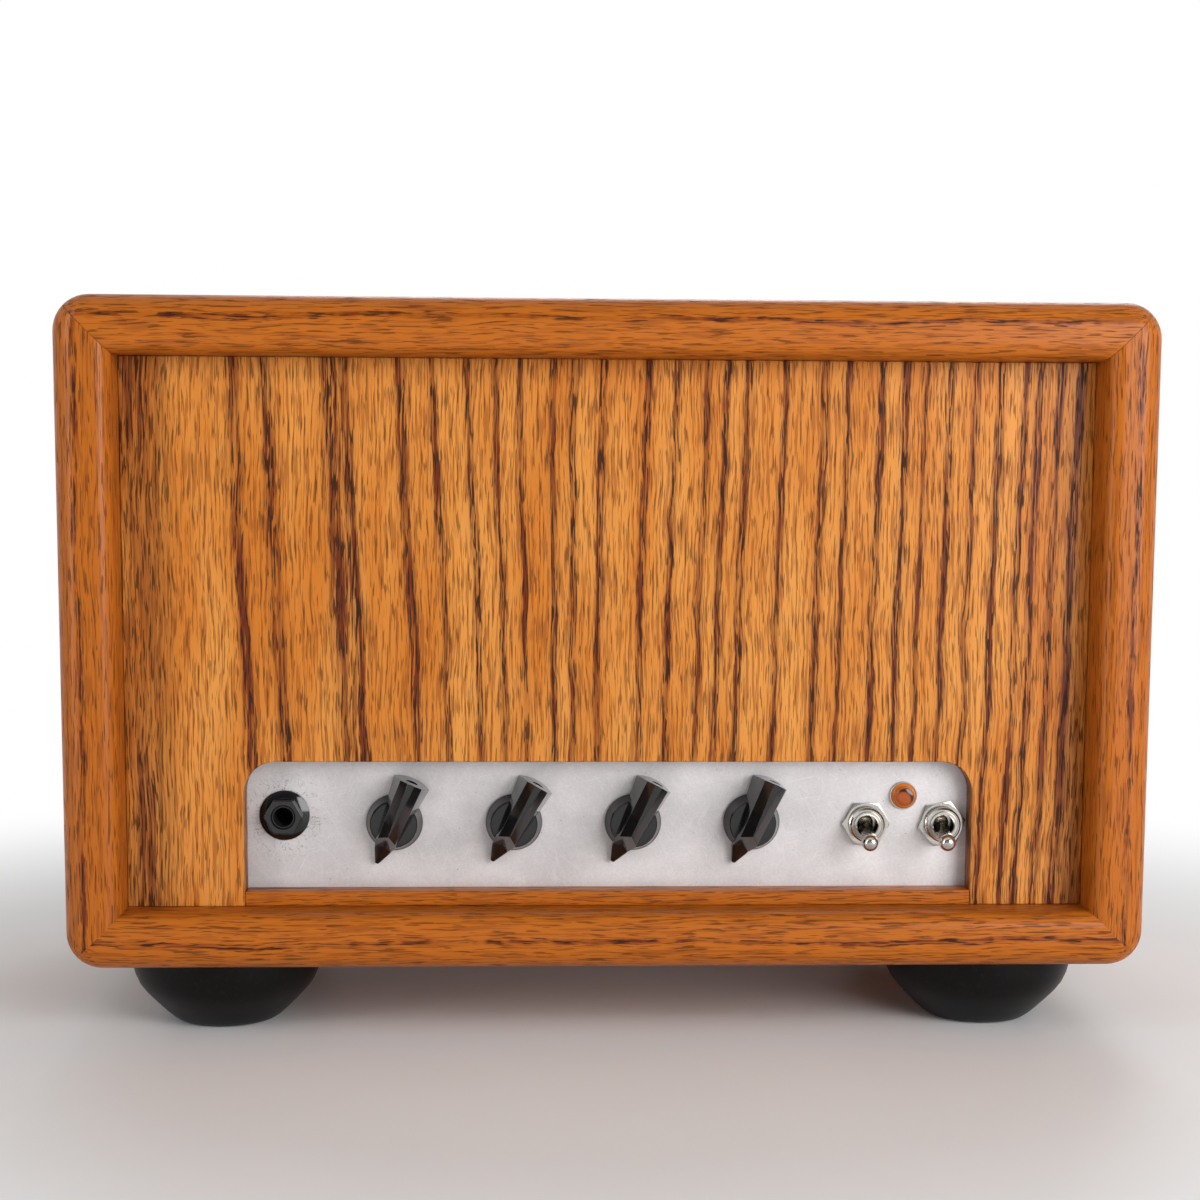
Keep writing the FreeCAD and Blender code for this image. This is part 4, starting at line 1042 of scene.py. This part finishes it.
def bulb_shape(radius, tall):
    """Blown bulb with a round shoulder and a sealed tip, hollow inside."""
    shoulder, facets, wall = radius * 0.7, 8, 0.9
    outer, inner = [(radius, 0.3)], []
    for i in range(facets + 1):
        a = pi / 2 * i / facets
        rise = tall - 2.5 - shoulder + shoulder * sin(a)
        outer.append((max(radius * cos(a), 1.8), rise))
        inner.append((max(radius * cos(a) - wall, 0), rise - wall))
    outer += [(1.4, tall), (0.8, tall + 2.2), (0, tall + 2.9)]
    skin = turned([(0, 0), (radius - 0.3, 0)] + outer, 64)
    hollow = turned([(0, 2.5), (radius - wall, 2.5)] + inner, 64)
    bmesh.ops.reverse_faces(hollow, faces=hollow.faces)
    return gathered(skin, hollow)


class AMPLIFIER_OT_rear(AmplifierStep):
    """Make the transformers' covers and the fuse cap, and soften the moulded inlet"""
    bl_idname = "amplifier.rear"
    bl_label = "Transformers and rear fittings"

    def make(self, context):
        for name, node, slot, width in (("end_bells", "mains_transformer_covers", "transformer_black", 1.6),
                                        ("inlet_moulding", "mains_inlet", "matte_black", 0.3)):
            shape = node_shape(node)
            soften(shape, width, 3, 25)
            piece(name, shape, slot, [node])
        centre = node_centre("fuse_cap")
        grip = turned([(0, 3.3), (6.4, 3.3), (6.6, 3.6), (6.55, 5.0), (6.2, 10.2), (5.9, 11.0), (5.4, 11.3),
                       (0, 11.3)], 64)
        groove = turned([(0, 5.2), (0.5, 5.2), (0.5, 11.5), (0, 11.5)], 10)
        grooves = 16
        ring = [(groove, Matrix.Rotation(2 * pi * i / grooves, 4, "Z") @ Matrix.Translation((6.5, 0, 0)))
                for i in range(grooves)]
        cap = cut_out(grip, gathered(*ring))
        cap = cut_out(cap, block((-4.5, -0.6, 10), (4.5, 0.6, 12)))
        neck = turned([(2.6, -6), (3.9, -6), (3.9, 3.6), (2.6, 3.6), (2.6, -6)], 40)
        piece("fluted_fuse_cap", gathered((gathered(cap, neck), facing_back(centre.x, rear_z))),
              "matte_black", ["fuse_cap"], body_of("fuse_cap"))


def stage_material():
    """Pale floor that keeps the object's shadow and runs out into white."""
    shader = Shader(bpy.data.materials.new("pale floor"))
    x, y, z = shader.place()
    out = shader.distance(x, y)
    grain = shader.noise(x * 0.02, y * 0.02, 0.0, detail=2)
    body = shader.node("ShaderNodeBsdfPrincipled", sockets={
        "Base Color": shader.blend(grain, (0.88, 0.88, 0.88), (0.92, 0.92, 0.92)), "Roughness": 0.55})
    white = shader.node("ShaderNodeEmission", sockets={"Color": (1, 1, 1, 1), "Strength": 1.0})
    seen, mirrored, through = shader.rays()
    looked = shader.math("MINIMUM", seen + mirrored + through, 1.0)
    fade = shader.step(out, 200.0, 520.0) * looked
    mix = shader.node("ShaderNodeMixShader", sockets={0: fade, 1: body, 2: white})
    shader.node("ShaderNodeOutputMaterial", sockets={"Surface": mix})
    return shader.owner


def white_room(light):
    """White wherever it is looked at, dark in front of the object in mirrors, and a level that lights."""
    shader = Shader(bpy.data.worlds.new("studio"))
    seen, mirrored, through = shader.rays()
    ahead = shader.step(shader.axes("Generated")[DEEP] * -1.0, 0.25, 0.85)
    reflected = mirrored * (1.0 - ahead * (1.0 - light.dark_side))
    looked = shader.math("MINIMUM", seen + reflected + through, 1.0)
    lit = (1.0 - shader.math("MAXIMUM", mirrored, seen)) * light.ambient
    level = shader.math("MAXIMUM", looked, lit)
    back = shader.node("ShaderNodeBackground", sockets={"Color": (1, 1, 1, 1), "Strength": level})
    shader.node("ShaderNodeOutputWorld", sockets={"Surface": back})
    bpy.context.scene.world = shader.owner


def lamp(name, power, size, place, target):
    """Rectangular soft lamp that faces a target."""
    light = bpy.data.lights.new(name, "AREA")
    light.energy, light.shape = power, "RECTANGLE"
    light.size, light.size_y = size
    made = bpy.data.objects.new(name, light)
    made.location = place
    made.rotation_euler = (Vector(target) - Vector(place)).to_track_quat("-Z", "Y").to_euler()
    bpy.context.scene.collection.objects.link(made)


class AMPLIFIER_OT_stage(AmplifierStep):
    """Make the floor, the lamps and the camera"""
    bl_idname = "amplifier.stage"
    bl_label = "Stage"

    def make(self, context):
        light, camera = settings("amplifier_light"), settings("amplifier_camera")
        floor = bmesh.new()
        bmesh.ops.create_grid(floor, x_segments=8, y_segments=8, size=6.0)
        mesh = bpy.data.meshes.new("floor")
        floor.to_mesh(mesh)
        floor.free()
        mesh.materials.append(stage_material())
        ground = bpy.data.objects.new("floor", mesh)
        context.scene.collection.objects.link(ground)
        white_room(light)
        middle = (0, 0, 0.13)
        lamp("key lamp", light.key_power, (0.75, 0.75), (0.74, -1.00, 0.44), middle)
        lamp("strip lamp", light.strip_power, (0.10, 1.0), (-0.85, -0.62, 0.40), middle)
        lamp("fill lamp", light.fill_power, (1.2, 0.5), (-0.1, -1.6, 0.45), middle)
        lamp("back lamp", light.back_power, (1.0, 0.5), (0.2, 1.1, 1.0), middle)
        context.scene.view_settings.view_transform = "Standard"
        lens = bpy.data.cameras.new("camera")
        lens.lens, lens.sensor_width, lens.sensor_fit, lens.shift_y = camera.lens, 36.0, "HORIZONTAL", 0.10
        lens.clip_start = 0.01
        made = bpy.data.objects.new("camera", lens)
        made.matrix_world = (Matrix.Translation((camera.across, camera.back, camera.high))
                             @ Matrix.Rotation(-camera.yaw, 4, "Z")
                             @ Matrix.Rotation(pi / 2 - camera.pitch, 4, "X")
                             @ Matrix.Rotation(camera.roll, 4, "Z"))
        context.scene.collection.objects.link(made)
        context.scene.camera = made


class AMPLIFIER_PT_panel(bpy.types.Panel):
    bl_label = "Valve amplifier"
    bl_space_type = "VIEW_3D"
    bl_region_type = "UI"
    bl_category = "Amplifier"

    def draw(self, context):
        for step in steps:
            self.layout.operator(step.bl_idname)
        for name in groups:
            box = self.layout.box()
            group = settings(name)
            for item in group.__annotations__:
                box.prop(group, item)


groups = {"amplifier_cabinet": AmplifierCabinet, "amplifier_oak": AmplifierOak,
          "amplifier_knob": AmplifierKnob, "amplifier_switches": AmplifierSwitches,
          "amplifier_light": AmplifierLight, "amplifier_camera": AmplifierCamera}
steps = [AMPLIFIER_OT_finishes, AMPLIFIER_OT_cabinet, AMPLIFIER_OT_panel, AMPLIFIER_OT_screws,
         AMPLIFIER_OT_feet, AMPLIFIER_OT_knobs, AMPLIFIER_OT_jacks, AMPLIFIER_OT_switches,
         AMPLIFIER_OT_pilot, AMPLIFIER_OT_valves, AMPLIFIER_OT_rear, AMPLIFIER_OT_stage]


def register():
    for group in groups.values():
        bpy.utils.register_class(group)
    for name, group in groups.items():
        setattr(bpy.types.Scene, name, PointerProperty(type=group))
    for step in steps + [AMPLIFIER_PT_panel]:
        bpy.utils.register_class(step)


def unregister():
    for step in [AMPLIFIER_PT_panel] + steps[::-1]:
        bpy.utils.unregister_class(step)
    for name in groups:
        delattr(bpy.types.Scene, name)
    for group in groups.values():
        bpy.utils.unregister_class(group)


def main():
    register()
    for step in steps:
        family, name = step.bl_idname.split(".")
        getattr(getattr(bpy.ops, family), name)()


if __name__ == "__main__":
    main()
